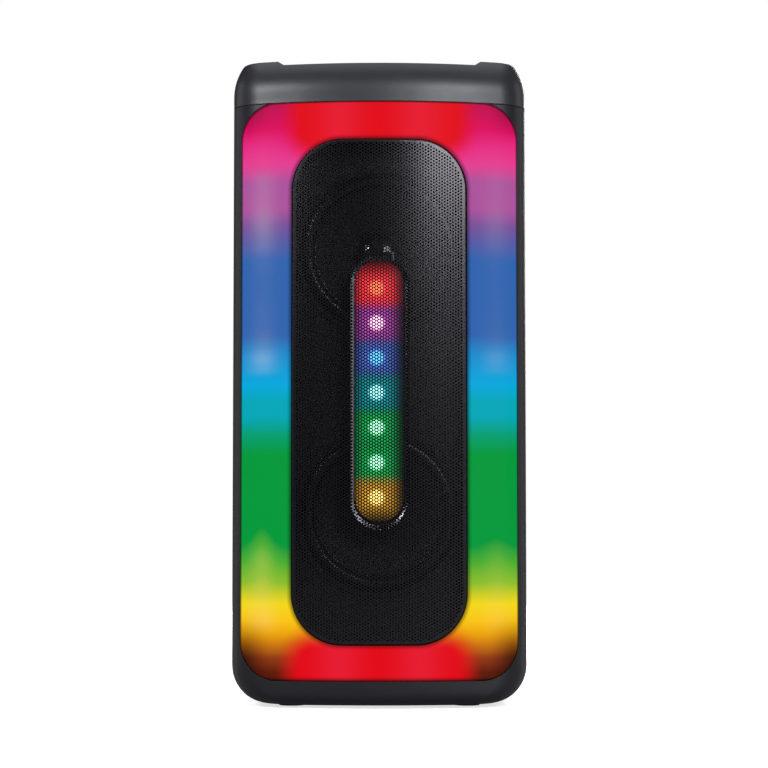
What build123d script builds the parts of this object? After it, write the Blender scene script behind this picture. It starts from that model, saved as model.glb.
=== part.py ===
from build123d import *
import os
from math import asin, cos, pi, radians, sin, sqrt

# Party speaker: an upright cabinet with a bowed front, a ring-shaped light panel round a grille,
# two woofers with a light bar in front of them, and controls and a carry handle in the top cap.
# Millimetres. x runs to the right seen from the front, y to the back and z up.
# The origin is on the floor, under the middle of the bounding box.

# ---- driving dimensions -------------------------------------------------------------------------

WIDTH = 282.8
DEPTH = 272.0
HEIGHT = 619.4
HALF = WIDTH / 2
FRONT = -DEPTH / 2
BACK = DEPTH / 2

FOOT_HEIGHT = 3.0
BOTTOM = FOOT_HEIGHT
SEAM = 575.5                     # where the top cap meets the cabinet
SPLIT = -104.0                   # where the front frame meets the rear housing
WALL = 3.0

BOW = 390.0                      # radius of the bowed front, in plan
FRONT_CORNER = 36.0
REAR_CORNER = 30.0
SIDE_ROUND = 36.5                # bottom corners, seen from the front
EDGE_ROUND = 12.0                # bottom edge of the front and the back
ROUND_TOP = BOTTOM + SIDE_ROUND
ROUND_STEPS = (0, 10, 20, 30, 40, 50, 60, 70, 80, 90)

CROWN = 60.0                     # radius at which the cap's sides draw in
CROWN_START = 587.0
CAP_LEAN = 7.0                   # how far the cap's front leans back by its top
CAP_STEPS = (575.5, 587.0, 595.5, 604.0, 611.7, 619.4)
CAP_EDGE = 5.0
CHANNEL = 614.6                  # level of the channel between the cap's side rails
CHANNEL_HALF = 92.0
CHANNEL_MOUTH = 99.5

PANEL_HALF = 132.0               # light panel, seen from the front
PANEL_BOTTOM = 26.3
PANEL_TOP = 576.2
PANEL_CUT = SEAM - 0.2
PANEL_CORNER = 35.0
PANEL_THICK = 3.0
PANEL_GAP = 0.4

GRILLE_HALF = 83.3
GRILLE_BOTTOM = 59.9
GRILLE_TOP = 539.6
GRILLE_CORNER = 48.0
GRILLE_SET = 1.0                 # how far the grille lies behind the panel's face
GRILLE_SHEET = 1.2

BAFFLE_FACE = -106.0             # face that the woofers are screwed to
BAFFLE_FRONT = -96.0
BAFFLE_BACK = -90.0
BAFFLE_INSET = 3.4
LIP_INSET = 3.3
LIP_THICK = 3.0

UPPER_Z = 434.0
LOWER_Z = 185.0
WOOFER_CENTRES = [(0, UPPER_Z), (0, LOWER_Z)]
WOOFER_HOLE = 73.5
SCREW_CIRCLE = 78.7
GASKET_FACE = -109.6             # front of the trim ring on each woofer's flange

TRAY_HALF = 127.0
TRAY_BOTTOM = 29.0
TRAY_TOP = 567.5
TRAY_CORNER = 30.0
TRAY_INNER = 84.7
TRAY_FLOOR = -98.0
RING_LED_PLACES = (
    [(side * 108.0, 70.0 + 32.8 * i) for side in (-1, 1) for i in range(15)]
    + [(-75.0 + 37.5 * i, z) for z in (43.0, 555.0) for i in range(5)]
)

DOME_APEX = -101.5               # dust cap: a shallow dome on the cone
DOME_RADIUS = 36.0
DOME_REACH = 25.0
DOME_THICK = 0.8

BAR_HALF = 27.7
BAR_BOTTOM = 168.0
BAR_TOP = 428.0
BAR_FRONT = -131.0
BAR_BACK = -121.5
LENS_HALF = 23.2
LENS_BOTTOM = 176.0
LENS_TOP = 424.6
BAR_LED_TOP = 397.3
BAR_LED_PITCH = 33.1
BAR_LED_COUNT = 7

WELL_HALF = 85.0                 # hand well behind the controls
WELL_FRONT = 52.0
WELL_FLOOR = 563.0
GRIP_FRONT = 100.0
GRIP_BACK = 124.0
GRIP_BOTTOM = 599.0
GRIP_TOP = 617.0
GRIP_HALF = WELL_HALF - WALL - 0.3
LUG_HALF = 90.6
LUG_TOP = 616.6

PLATE_TOP = 608.5                # control plate
PLATE_THICK = 2.5
PLATE_SEAT = PLATE_TOP - PLATE_THICK
PLATE_HALF = 86.0
PLATE_FRONT = -112.0
PLATE_BACK = 42.0
BOARD_TOP = 591.6                # control board
BOARD_THICK = 1.6
KNOB_PLACE = (0.0, -32.0)
MIC_PLACE = (62.0, -36.0)
BUTTONS = {
    "power_button": (-62.0, -82.0),
    "mode_button": (62.0, -82.0),
    "light_button": (-62.0, -36.0),
    "previous_button": (-42.0, 20.0),
    "play_button": (0.0, 20.0),
    "next_button": (42.0, 20.0),
}
PLATE_MARGIN = 0.3
LUG_SCREWS = [(side * 87.9, y) for side in (-1, 1) for y in (104.0, 120.0)]
BOARD_POSTS = [(x, y) for x in (-70.0, 70.0) for y in (-98.0, 28.0)]
BUTTON_RADIUS = 8.0
FLUTE_PITCH = 4.4

PORT_Z = 430.0
PORT_RADIUS = 28.0
PORT_FRONT = 46.0
PORT_FLARE = 38.0
PORT_SPIGOT = 41.0

IO_HALF = 58.0
IO_BOTTOM = 84.0
IO_TOP = 236.0
IO_FACE = 133.6
IO_THICK = 3.0
JACK_Z = 206.0
MIC_JACKS = (-38.0, -12.0)
AUX_X = 12.0
USB_X = 38.0
MIC_BORE = 3.25
AUX_BORE = 1.82
SWITCH_PLACE = (-28.0, 128.0)
INLET_PLACE = (20.0, 128.0)
ROCKER_TILT = 9.0
ROCKER_PIVOT_Y = 126.5

POST_PLACES = [(side * 118.0, z) for side in (-1, 1) for z in (52.0, 210.0, 370.0, 530.0)]
POST_RADIUS = 6.5
TUNNEL_RADIUS = 4.2
SHANK = 1.5
SHANK_HOLE = 1.75
HEAD = 2.25
HEAD_HEIGHT = 1.8

PLATE_SCREWS = [(side * 54.6, z) for side in (-1, 1) for z in (IO_BOTTOM + 3.4, IO_TOP - 3.4)]

BOARD_FACE = 112.0               # front face of the boards on the back wall
AMP_POSTS = [(x, z) for x in (-54.0, 54.0) for z in (268.0, 356.0)]
POWER_POSTS = [(x, z) for x in (72.0, 104.0) for z in (96.0, 224.0)]
BATTERY_SCREWS = [(-42.0, 39.0), (42.0, 39.0)]

AMP_HALF = 60.0                  # amplifier board, seen from the back
AMP_BOTTOM = 262.0
AMP_TOP = 362.0
SINK_HALF = 44.0                 # heat sink on the amplifier board
SINK_BOTTOM = 282.0
SINK_TOP = 346.0
SINK_BASE = 5.0
FIN_DEPTH = 18.0
FIN_PITCH = 8.6
FIN_COUNT = 11
POWER_X = (67.0, 109.0)          # power board, seen from the back
POWER_Z = (90.0, 230.0)
CELL_RADIUS = 9.1                # battery cells, lying along x in two layers of three
CELL_LENGTH = 65.0
CELL_ROWS = (19.5, 39.0, 58.5)
CELL_LEVELS = (15.8, 35.2)
BRACKET_HALF = 36.0              # sheet-metal cover over the cells
BRACKET_Y = (8.0, 70.0)
BRACKET_TOP = 47.0
BRACKET_SHEET = 1.6
BRACKET_TAB = 12.0

FEET_PLACES = [(x, y) for x in (-84.0, 84.0) for y in (-74.0, 92.0)]

pieces = []


def keep(builder, name):
    """Name a finished piece and note it for export."""
    builder.part.label = name
    pieces.append(builder.part)


# ---- shapes that several pieces share -------------------------------------------------------------


def plan_outline(half, front, back, corner, rear_corner):
    """Plan of the cabinet: a bowed front, straight sides and a straight back."""
    shoulder = front + BOW - sqrt(BOW**2 - half**2)
    with BuildSketch() as plan:
        with BuildLine():
            ThreePointArc((-half, shoulder), (0, front), (half, shoulder))
            Polyline((half, shoulder), (half, back), (-half, back), (-half, shoulder))
        make_face()
        fillet(plan.vertices().group_by(Axis.Y)[0], corner)
        fillet(plan.vertices().group_by(Axis.Y)[-1], rear_corner)
    return plan.sketch


def inset_plan(inset, lean=0.0):
    """The cabinet's plan above its rounded bottom, pulled in by inset all round."""
    return plan_outline(
        HALF - inset, FRONT + inset + lean, BACK - inset, FRONT_CORNER - inset, REAR_CORNER - inset
    )


def cabinet_form(inset):
    """The cabinet below the cap as one closed form, pulled in by inset all round."""
    side_round = SIDE_ROUND - inset
    edge_round = EDGE_ROUND - inset
    edge_top = BOTTOM + EDGE_ROUND
    with BuildPart() as form:
        for angle in ROUND_STEPS:
            z = ROUND_TOP - side_round * cos(radians(angle))
            half = HALF - inset - side_round * (1 - sin(radians(angle)))
            below = max(0.0, edge_top - z)
            edge = inset + edge_round - sqrt(max(0.0, edge_round**2 - below**2))
            with BuildSketch(Plane.XY.offset(z)):
                add(plan_outline(
                    half, FRONT + edge, BACK - edge, FRONT_CORNER - inset, REAR_CORNER - inset
                ))
        loft()
        with BuildSketch(Plane.XY.offset(ROUND_TOP)):
            add(inset_plan(inset))
        extrude(amount=SEAM - inset - ROUND_TOP)
    return form.part


def cap_form(inset):
    """The top cap as one closed form: its sides draw in towards the top and its front leans back."""
    with BuildPart() as form:
        for z in CAP_STEPS:
            rise = max(0.0, z - CROWN_START)
            draw = CROWN - sqrt(CROWN**2 - rise**2)
            lean = CAP_LEAN * (rise / (HEIGHT - CROWN_START)) ** 2
            with BuildSketch(Plane.XY.offset(z - inset * (z - SEAM) / (HEIGHT - SEAM))):
                add(inset_plan(inset + draw, lean))
        loft()
    return form.part


def slab(half, bottom, top, corner, front, back):
    """A rounded rectangle seen from the front, running from y = front to y = back."""
    with BuildPart() as piece:
        with BuildSketch(Plane.XZ.offset(-front)):
            with Locations((0, (bottom + top) / 2)):
                RectangleRounded(2 * half, top - bottom, corner)
        extrude(amount=front - back)
    return piece.part


def block(x_span, y_span, z_span):
    """A plain block given by its low and high corner along each axis."""
    with BuildPart() as piece:
        with BuildSketch(Plane.XY.offset(z_span[0])):
            with Locations(((x_span[0] + x_span[1]) / 2, (y_span[0] + y_span[1]) / 2)):
                Rectangle(x_span[1] - x_span[0], y_span[1] - y_span[0])
        extrude(amount=z_span[1] - z_span[0])
    return piece.part


def rods(places, radius, front, back):
    """Round rods along y, from y = front to y = back, at the given (x, z) places."""
    with BuildPart() as group:
        with BuildSketch(Plane.XZ.offset(-front)):
            with Locations(*places):
                Circle(radius)
        extrude(amount=front - back)
    return group.part


def pins(places, radius, low, high):
    """Round pins along z, from z = low to z = high, at the given (x, y) places."""
    with BuildPart() as group:
        with BuildSketch(Plane.XY.offset(low)):
            with Locations(*places):
                Circle(radius)
        extrude(amount=high - low)
    return group.part


def curved_skin(outer, inner, bottom, top):
    """The layer of the bowed front between two insets."""
    with BuildPart() as skin:
        with BuildSketch(Plane.XY.offset(bottom)):
            add(inset_plan(outer))
            add(inset_plan(inner), mode=Mode.SUBTRACT)
        extrude(amount=top - bottom)
    return skin.part


def turned(outline, centre_z):
    """A solid of revolution about a woofer's axis, from (radius, y) corners."""
    with BuildPart() as piece:
        with BuildSketch(Plane.XY.offset(centre_z)):
            with BuildLine():
                Polyline(*outline, close=True)
            make_face()
        revolve(axis=Axis((0, 0, centre_z), (0, 1, 0)))
    return piece.part


def plate_slab(margin, low, high):
    """The control plate's rounded outline, grown by margin, from z = low to z = high."""
    with BuildPart() as piece:
        with BuildSketch(Plane.XY.offset(low)):
            with Locations((0, (PLATE_FRONT + PLATE_BACK) / 2)):
                RectangleRounded(
                    2 * (PLATE_HALF + margin), PLATE_BACK - PLATE_FRONT + 2 * margin, 12 + margin
                )
        extrude(amount=high - low)
    return piece.part


def screw_ring(centre_z):
    """The four screws of one woofer, as (x, z) places."""
    reach = SCREW_CIRCLE / sqrt(2)
    return [(x * reach, centre_z + z * reach) for x in (-1, 1) for z in (-1, 1)]


# ---- cabinet shells -------------------------------------------------------------------------------

outer_form = cabinet_form(0)
inner_form = cabinet_form(WALL)
cap_outer = cap_form(0)
woofer_screws = screw_ring(UPPER_Z) + screw_ring(LOWER_Z)

with BuildPart() as well_limit:
    add(outer_form)
    add(cap_outer)

with BuildPart() as panel_back:
    with BuildSketch(Plane.XY.offset(PANEL_BOTTOM - 10)):
        add(inset_plan(PANEL_THICK + 0.3))
    extrude(amount=HEIGHT)

with BuildPart() as grille_limit:
    with BuildSketch(Plane.XY.offset(GRILLE_BOTTOM - 10)):
        add(inset_plan(GRILLE_SET))
    extrude(amount=HEIGHT)

with BuildPart() as hollow:
    add(cap_form(WALL))
    add(block((-CHANNEL_MOUTH - WALL, CHANNEL_MOUTH + WALL), (FRONT, BACK), (CHANNEL - WALL, HEIGHT)),
        mode=Mode.SUBTRACT)

with BuildPart() as rear_housing:
    add(outer_form)
    add(inner_form, mode=Mode.SUBTRACT)
    split(bisect_by=Plane.XZ.offset(-SPLIT), keep=Keep.BOTTOM)
    # the seat for the connector plate, set into the back wall
    add(slab(IO_HALF + 4, IO_BOTTOM - 4, IO_TOP + 4, 9, IO_FACE - 5, BACK - WALL / 2))
    add(slab(IO_HALF + 0.3, IO_BOTTOM - 0.3, IO_TOP + 0.3, 6.3, IO_FACE - IO_THICK, BACK + 1),
        mode=Mode.SUBTRACT)
    add(slab(IO_HALF - 6, IO_BOTTOM + 6, IO_TOP - 6, 4, IO_FACE - 8, BACK + 1), mode=Mode.SUBTRACT)
    add(rods(PLATE_SCREWS, SHANK_HOLE, IO_FACE - 8, BACK), mode=Mode.SUBTRACT)
    # the bass port's hole
    add(rods([(0, PORT_Z)], PORT_SPIGOT + 0.2, BACK - 9, BACK + 1), mode=Mode.SUBTRACT)
    # posts for the amplifier and power boards
    add(rods(AMP_POSTS + POWER_POSTS, 4, BOARD_FACE + BOARD_THICK, BACK - 1))
    add(rods(AMP_POSTS + POWER_POSTS, SHANK_HOLE, BOARD_FACE, BOARD_FACE + 12), mode=Mode.SUBTRACT)
    add(pins(BATTERY_SCREWS, SHANK_HOLE, BOTTOM + 0.8, BOTTOM + WALL + 1), mode=Mode.SUBTRACT)
    # the notch for the hand well
    add(block((-WELL_HALF - 0.2, WELL_HALF + 0.2), (WELL_FRONT - 0.2, BACK + 4),
              (WELL_FLOOR - 0.2, SEAM + 1)), mode=Mode.SUBTRACT)
    # hollow posts for the case screws
    add(rods(POST_PLACES, POST_RADIUS, BAFFLE_BACK, BACK - 1))
    add(rods(POST_PLACES, TUNNEL_RADIUS, BAFFLE_BACK + 4, BACK + 1), mode=Mode.SUBTRACT)
    add(rods(POST_PLACES, SHANK_HOLE, BAFFLE_BACK - 1, BACK + 1), mode=Mode.SUBTRACT)
    # holes for the pegs of the feet
    add(pins(FEET_PLACES, 3.2, BOTTOM - 1, BOTTOM + WALL + 1), mode=Mode.SUBTRACT)
    # cable hole in the deck under the cap
    add(block((-40, 40), (-80, -50), (SEAM - WALL - 1, SEAM + 1)), mode=Mode.SUBTRACT)
keep(rear_housing, "rear_housing")

panel_opening = slab(
    PANEL_HALF + PANEL_GAP, PANEL_BOTTOM - PANEL_GAP, PANEL_TOP + PANEL_GAP,
    PANEL_CORNER + PANEL_GAP, FRONT - 1, SPLIT + 1
)

frame_hollow = cabinet_form(LIP_INSET + LIP_THICK)

with BuildPart() as opening_rim:
    add(slab(PANEL_HALF + 2.4, PANEL_BOTTOM - 2.4, PANEL_TOP, PANEL_CORNER + 2.4, FRONT - 1, SPLIT))
    add(outer_form, mode=Mode.INTERSECT)

with BuildPart() as lip:
    # it reaches into the rear housing and carries the baffle
    add(cabinet_form(LIP_INSET))
    add(frame_hollow, mode=Mode.SUBTRACT)
    split(bisect_by=Plane.XZ.offset(-SPLIT), keep=Keep.BOTTOM)
    split(bisect_by=Plane.XZ.offset(-BAFFLE_FRONT), keep=Keep.TOP)

with BuildPart() as front_frame:
    add(outer_form)
    add(frame_hollow, mode=Mode.SUBTRACT)
    split(bisect_by=Plane.XZ.offset(-SPLIT), keep=Keep.TOP)
    add(opening_rim.part)
    add(panel_opening, mode=Mode.SUBTRACT)
    add(lip.part)
keep(front_frame, "front_frame")

with BuildPart() as top_cap:
    add(cap_outer)
    fillet(top_cap.faces().sort_by(Axis.Z)[-1].edges(), CAP_EDGE)
    # the channel between the side rails
    with BuildSketch(Plane.XZ.offset(BACK + 2)) as channel:
        with BuildLine():
            Polyline((-CHANNEL_HALF, CHANNEL), (CHANNEL_HALF, CHANNEL), (CHANNEL_MOUTH, HEIGHT + 1),
                     (-CHANNEL_MOUTH, HEIGHT + 1), close=True)
        make_face()
        fillet(channel.vertices().group_by(Axis.Y)[0], 2)
    extrude(amount=-2 * BACK - 4, mode=Mode.SUBTRACT)
    # the hollow underneath, lower under the channel than in the rails
    add(hollow.part, mode=Mode.SUBTRACT)
    # the wall and the ledge round the control plate
    add(plate_slab(PLATE_MARGIN + WALL, PLATE_SEAT - WALL, CHANNEL - 1))
    add(plate_slab(PLATE_MARGIN, PLATE_SEAT, CHANNEL + 1), mode=Mode.SUBTRACT)
    add(plate_slab(-4, PLATE_SEAT - WALL - 1, CHANNEL + 1), mode=Mode.SUBTRACT)
    # the notch for the hand well
    add(block((-WELL_HALF - 0.2, WELL_HALF + 0.2), (WELL_FRONT - 0.2, BACK + 4),
              (SEAM - 1, CHANNEL + 1)), mode=Mode.SUBTRACT)
    # screw holes for the grip's lugs
    add(pins(LUG_SCREWS, SHANK_HOLE, CHANNEL - WALL - 1, CHANNEL + 1), mode=Mode.SUBTRACT)
keep(top_cap, "top_cap")

with BuildPart() as handle_cup:
    add(block((-WELL_HALF, WELL_HALF), (WELL_FRONT, BACK), (WELL_FLOOR, CHANNEL)))
    fillet(handle_cup.edges().filter_by(Axis.X).group_by(Axis.Y)[0].group_by(Axis.Z)[0], 8)
    with BuildSketch(Plane.XY.offset(WELL_FLOOR + WALL)) as well:
        with Locations((0, (WELL_FRONT + WALL + BACK + 20) / 2)):
            Rectangle(2 * (WELL_HALF - WALL), BACK + 20 - WELL_FRONT - WALL)
        fillet(well.vertices().group_by(Axis.Y)[0], 12)
    extrude(amount=HEIGHT - WELL_FLOOR, mode=Mode.SUBTRACT)
    add(well_limit.part, mode=Mode.INTERSECT)
keep(handle_cup, "handle_cup")

with BuildPart() as carry_handle:
    add(block((-GRIP_HALF, GRIP_HALF), (GRIP_FRONT, GRIP_BACK), (GRIP_BOTTOM, GRIP_TOP)))
    fillet(carry_handle.edges().filter_by(Axis.X), 7)
    add(block((-LUG_HALF, LUG_HALF), (GRIP_FRONT - 2, GRIP_BACK + 2), (CHANNEL, LUG_TOP)))
    add(block((-GRIP_HALF + 6, GRIP_HALF - 6), (GRIP_FRONT - 3, GRIP_FRONT),
              (CHANNEL - 1, GRIP_TOP + 1)), mode=Mode.SUBTRACT)
    add(block((-GRIP_HALF + 6, GRIP_HALF - 6), (GRIP_BACK, GRIP_BACK + 3),
              (CHANNEL - 1, GRIP_TOP + 1)), mode=Mode.SUBTRACT)
    add(pins(LUG_SCREWS, SHANK_HOLE, CHANNEL - 1, GRIP_TOP), mode=Mode.SUBTRACT)
keep(carry_handle, "carry_handle")

with BuildPart() as feet:
    add(pins(FEET_PLACES, 13, 0, FOOT_HEIGHT))
    chamfer(feet.edges().group_by(Axis.Z)[0], 0.8)
    add(pins(FEET_PLACES, 3, FOOT_HEIGHT - 0.5, BOTTOM + WALL + 1))
    add(pins(FEET_PLACES, 4.6, BOTTOM + WALL, BOTTOM + WALL + 2.5))
keep(feet, "feet")

# ---- front: light panel, grille, reflector and baffle ---------------------------------------------

with BuildPart() as light_panel:
    add(curved_skin(0, PANEL_THICK, PANEL_BOTTOM - 1, PANEL_CUT))
    add(slab(PANEL_HALF, PANEL_BOTTOM, PANEL_TOP, PANEL_CORNER, FRONT - 1, SPLIT - 0.3),
        mode=Mode.INTERSECT)
    add(slab(GRILLE_HALF + PANEL_GAP, GRILLE_BOTTOM - PANEL_GAP, GRILLE_TOP + PANEL_GAP,
             GRILLE_CORNER + PANEL_GAP, FRONT - 1, SPLIT + 5), mode=Mode.SUBTRACT)
keep(light_panel, "light_panel")

with BuildPart() as grille:
    # a curved steel sheet with a skirt that stands on the baffle
    add(curved_skin(GRILLE_SET, GRILLE_SET + GRILLE_SHEET, GRILLE_BOTTOM, GRILLE_TOP))
    add(slab(GRILLE_HALF, GRILLE_BOTTOM, GRILLE_TOP, GRILLE_CORNER, FRONT - 1, BAFFLE_FACE),
        mode=Mode.INTERSECT)
    with BuildSketch(Plane.XZ.offset(-BAFFLE_FACE)):
        with Locations((0, (GRILLE_BOTTOM + GRILLE_TOP) / 2)):
            RectangleRounded(2 * GRILLE_HALF, GRILLE_TOP - GRILLE_BOTTOM, GRILLE_CORNER)
            RectangleRounded(
                2 * (GRILLE_HALF - GRILLE_SHEET), GRILLE_TOP - GRILLE_BOTTOM - 2 * GRILLE_SHEET,
                GRILLE_CORNER - GRILLE_SHEET, mode=Mode.SUBTRACT
            )
    extrude(amount=BAFFLE_FACE - FRONT)
    add(grille_limit.part, mode=Mode.INTERSECT)
keep(grille, "grille")

with BuildPart() as reflector_tray:
    # a white channel behind the light panel, open towards it
    add(slab(TRAY_HALF, TRAY_BOTTOM, TRAY_TOP, TRAY_CORNER, FRONT - 1, BAFFLE_FRONT))
    add(slab(TRAY_HALF - 2, TRAY_BOTTOM + 2, TRAY_TOP - 2, TRAY_CORNER - 2, FRONT - 1, TRAY_FLOOR),
        mode=Mode.SUBTRACT)
    add(slab(TRAY_INNER + 2, GRILLE_BOTTOM - 3.4, GRILLE_TOP + 3.4, GRILLE_CORNER + 3.4, FRONT - 1,
             BAFFLE_FRONT))
    add(slab(TRAY_INNER, GRILLE_BOTTOM - 1.4, GRILLE_TOP + 1.4, GRILLE_CORNER + 1.4, FRONT - 2,
             BAFFLE_FRONT + 1), mode=Mode.SUBTRACT)
    add(panel_back.part, mode=Mode.INTERSECT)
keep(reflector_tray, "reflector_tray")

with BuildPart() as led_ring_board:
    add(slab(TRAY_HALF - 5, TRAY_BOTTOM + 5, TRAY_TOP - 5, TRAY_CORNER - 5, TRAY_FLOOR - BOARD_THICK,
             TRAY_FLOOR))
    add(slab(TRAY_INNER + 7, GRILLE_BOTTOM - 8, GRILLE_TOP + 8, GRILLE_CORNER + 8,
             TRAY_FLOOR - BOARD_THICK - 1, TRAY_FLOOR + 1), mode=Mode.SUBTRACT)
keep(led_ring_board, "led_ring_board")

with BuildPart() as ring_leds:
    with BuildSketch(Plane.XZ.offset(-(TRAY_FLOOR - BOARD_THICK))):
        with Locations(*RING_LED_PLACES):
            Rectangle(5, 5)
    extrude(amount=1.6)
keep(ring_leds, "ring_leds")

with BuildPart() as baffle:
    add(cabinet_form(BAFFLE_INSET))
    split(bisect_by=Plane.XZ.offset(-BAFFLE_FRONT), keep=Keep.BOTTOM)
    split(bisect_by=Plane.XZ.offset(-BAFFLE_BACK), keep=Keep.TOP)
    add(slab(TRAY_INNER - 0.5, GRILLE_BOTTOM - 0.9, GRILLE_TOP + 0.9, GRILLE_CORNER + 0.9,
             BAFFLE_FACE, BAFFLE_FRONT + 1))
    add(rods(WOOFER_CENTRES, WOOFER_HOLE, BAFFLE_FACE - 1, BAFFLE_BACK + 1), mode=Mode.SUBTRACT)
    add(rods(woofer_screws, SHANK_HOLE, BAFFLE_FACE - 1, BAFFLE_BACK + 1), mode=Mode.SUBTRACT)
    add(rods(POST_PLACES, SHANK_HOLE, BAFFLE_FRONT - 1, BAFFLE_BACK + 1), mode=Mode.SUBTRACT)
keep(baffle, "baffle")

# ---- light bar ------------------------------------------------------------------------------------


def stadium(half, bottom, top, front, back):
    """A bar with round ends, seen from the front."""
    return slab(half, bottom, top, half - 0.001, front, back)


with BuildPart() as light_bar_housing:
    add(stadium(BAR_HALF, BAR_BOTTOM, BAR_TOP, BAR_FRONT, BAR_BACK))
    chamfer(light_bar_housing.faces().sort_by(Axis.Y)[0].edges(), 1.2)
    add(stadium(LENS_HALF + 0.2, LENS_BOTTOM - 0.2, LENS_TOP + 0.2, BAR_FRONT - 1, BAR_BACK - 2),
        mode=Mode.SUBTRACT)
    # the pedestal that holds it clear of the woofers
    add(slab(18, 276, 342, 4, BAR_BACK, BAFFLE_FACE))
keep(light_bar_housing, "light_bar_housing")

with BuildPart() as light_bar_lens:
    add(stadium(LENS_HALF, LENS_BOTTOM, LENS_TOP, BAR_FRONT + 1.5, BAR_FRONT + 3.5))
keep(light_bar_lens, "light_bar_lens")

with BuildPart() as light_bar_board:
    add(slab(18, LENS_BOTTOM + 8, LENS_TOP - 8, 4, BAR_BACK - 2 - BOARD_THICK, BAR_BACK - 2))
keep(light_bar_board, "light_bar_board")

with BuildPart() as bar_leds:
    with BuildSketch(Plane.XZ.offset(-(BAR_BACK - 2 - BOARD_THICK))):
        with Locations(*[(0, BAR_LED_TOP - i * BAR_LED_PITCH) for i in range(BAR_LED_COUNT)]):
            Rectangle(5, 5)
    extrude(amount=1.5)
keep(bar_leds, "bar_leds")

# ---- woofers --------------------------------------------------------------------------------------

BASKET = [
    (81, -108), (81, -106), (73, -106), (71, -92), (46, -72), (46, -58), (30, -58), (30, -59.5),
    (44.5, -59.5), (44.5, -70.8), (38, -70.8), (38, -72.3), (44, -72.3), (69.4, -92.8),
    (71.4, -106), (71.4, -108),
]
CONE = [
    (13.5, -85.4), (60.5, -108), (62.4, -108), (62.4, -106.8), (60.9, -106.8), (13.5, -84),
]


def basket_of(centre_z):
    """The pressed steel frame: a flange, six legs and a ring for the magnet."""
    with BuildPart() as basket:
        add(turned(BASKET, centre_z))
        with BuildSketch(Plane.XZ.offset(100).move(Location((0, 0, centre_z)))):
            with PolarLocations(59, 6, start_angle=30):
                Rectangle(16, 34)
        extrude(amount=-40, mode=Mode.SUBTRACT)
        add(rods(screw_ring(centre_z), SHANK_HOLE, -110, -104), mode=Mode.SUBTRACT)
    return basket


def motor_plates_of(centre_z):
    """The yoke, with its pole in the coil's gap, and the top plate on the magnet's other face."""
    with BuildPart() as plates:
        add(turned([(0, -58.5), (12.4, -58.5), (12.4, -36), (45, -36), (45, -30), (0, -30)], centre_z))
        add(turned([(14.1, -58), (45, -58), (45, -52), (14.1, -52)], centre_z))
    return plates


def gasket_of(centre_z):
    """The ring over the flange, with the screws passing through it."""
    with BuildPart() as gasket:
        add(turned([(76.4, GASKET_FACE), (81, GASKET_FACE), (81, -108), (76.4, -108)], centre_z))
        add(rods(screw_ring(centre_z), SHANK_HOLE, -111, -107), mode=Mode.SUBTRACT)
    return gasket


def surround_of(centre_z):
    """The half-round rubber roll between the flange and the cone."""
    with BuildPart() as surround:
        with BuildSketch(Plane.XY.offset(centre_z)):
            with BuildLine():
                Polyline((60, -108), (60, -108.8), (62, -108.8))
                ThreePointArc((62, -108.8), (68, -114.8), (74, -108.8))
                Polyline((74, -108.8), (76.2, -108.8), (76.2, -108), (73.2, -108))
                ThreePointArc((73.2, -108), (68, -113.9), (62.8, -108))
                Line((62.8, -108), (60, -108))
            make_face()
        revolve(axis=Axis((0, 0, centre_z), (0, 1, 0)))
    return surround


def spider_of(centre_z):
    """The corrugated cloth ring that centres the coil."""
    steps = range(15)
    front = [(13.5 + 2 * i, -73.1 - (0.9 if i % 2 else 0)) for i in steps]
    rear = [(r, y + 0.7) for r, y in reversed(front)]
    with BuildPart() as spider:
        add(turned(front + [(43.5, -73.1), (43.5, -72.4)] + rear, centre_z))
    return spider


def dust_cap_of(centre_z):
    """The domed cap over the coil: a piece of a sphere's shell centred on the axis."""
    centre_y = DOME_APEX + DOME_RADIUS
    rim = asin(DOME_REACH / DOME_RADIUS)

    def on_dome(radius, angle):
        return (radius * sin(angle), centre_y - radius * cos(angle))

    inner = DOME_RADIUS - DOME_THICK
    with BuildPart() as cap:
        with BuildSketch(Plane.XY.offset(centre_z)):
            with BuildLine():
                Line(on_dome(inner, 0), on_dome(DOME_RADIUS, 0))
                ThreePointArc(on_dome(DOME_RADIUS, 0), on_dome(DOME_RADIUS, rim / 2),
                              on_dome(DOME_RADIUS, rim))
                Line(on_dome(DOME_RADIUS, rim), on_dome(inner, rim))
                ThreePointArc(on_dome(inner, rim), on_dome(inner, rim / 2), on_dome(inner, 0))
            make_face()
        revolve(axis=Axis((0, 0, centre_z), (0, 1, 0)))
    return cap


for place, centre_z in (("upper", UPPER_Z), ("lower", LOWER_Z)):
    with BuildPart() as magnet:
        add(turned([(22, -52), (50, -52), (50, -36), (22, -36)], centre_z))
    with BuildPart() as cone:
        add(turned(CONE, centre_z))
    with BuildPart() as voice_coil:
        add(turned([(12.9, -86), (13.5, -86), (13.5, -50), (12.9, -50)], centre_z))
    keep(basket_of(centre_z), place + "_woofer_basket")
    keep(motor_plates_of(centre_z), place + "_woofer_motor_plates")
    keep(magnet, place + "_woofer_magnet")
    keep(gasket_of(centre_z), place + "_woofer_gasket")
    keep(surround_of(centre_z), place + "_woofer_surround")
    keep(spider_of(centre_z), place + "_woofer_spider")
    keep(cone, place + "_woofer_cone")
    keep(dust_cap_of(centre_z), place + "_woofer_dust_cap")
    keep(voice_coil, place + "_woofer_voice_coil")

# ---- controls in the top cap ----------------------------------------------------------------------

button_places = list(BUTTONS.values())

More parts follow.
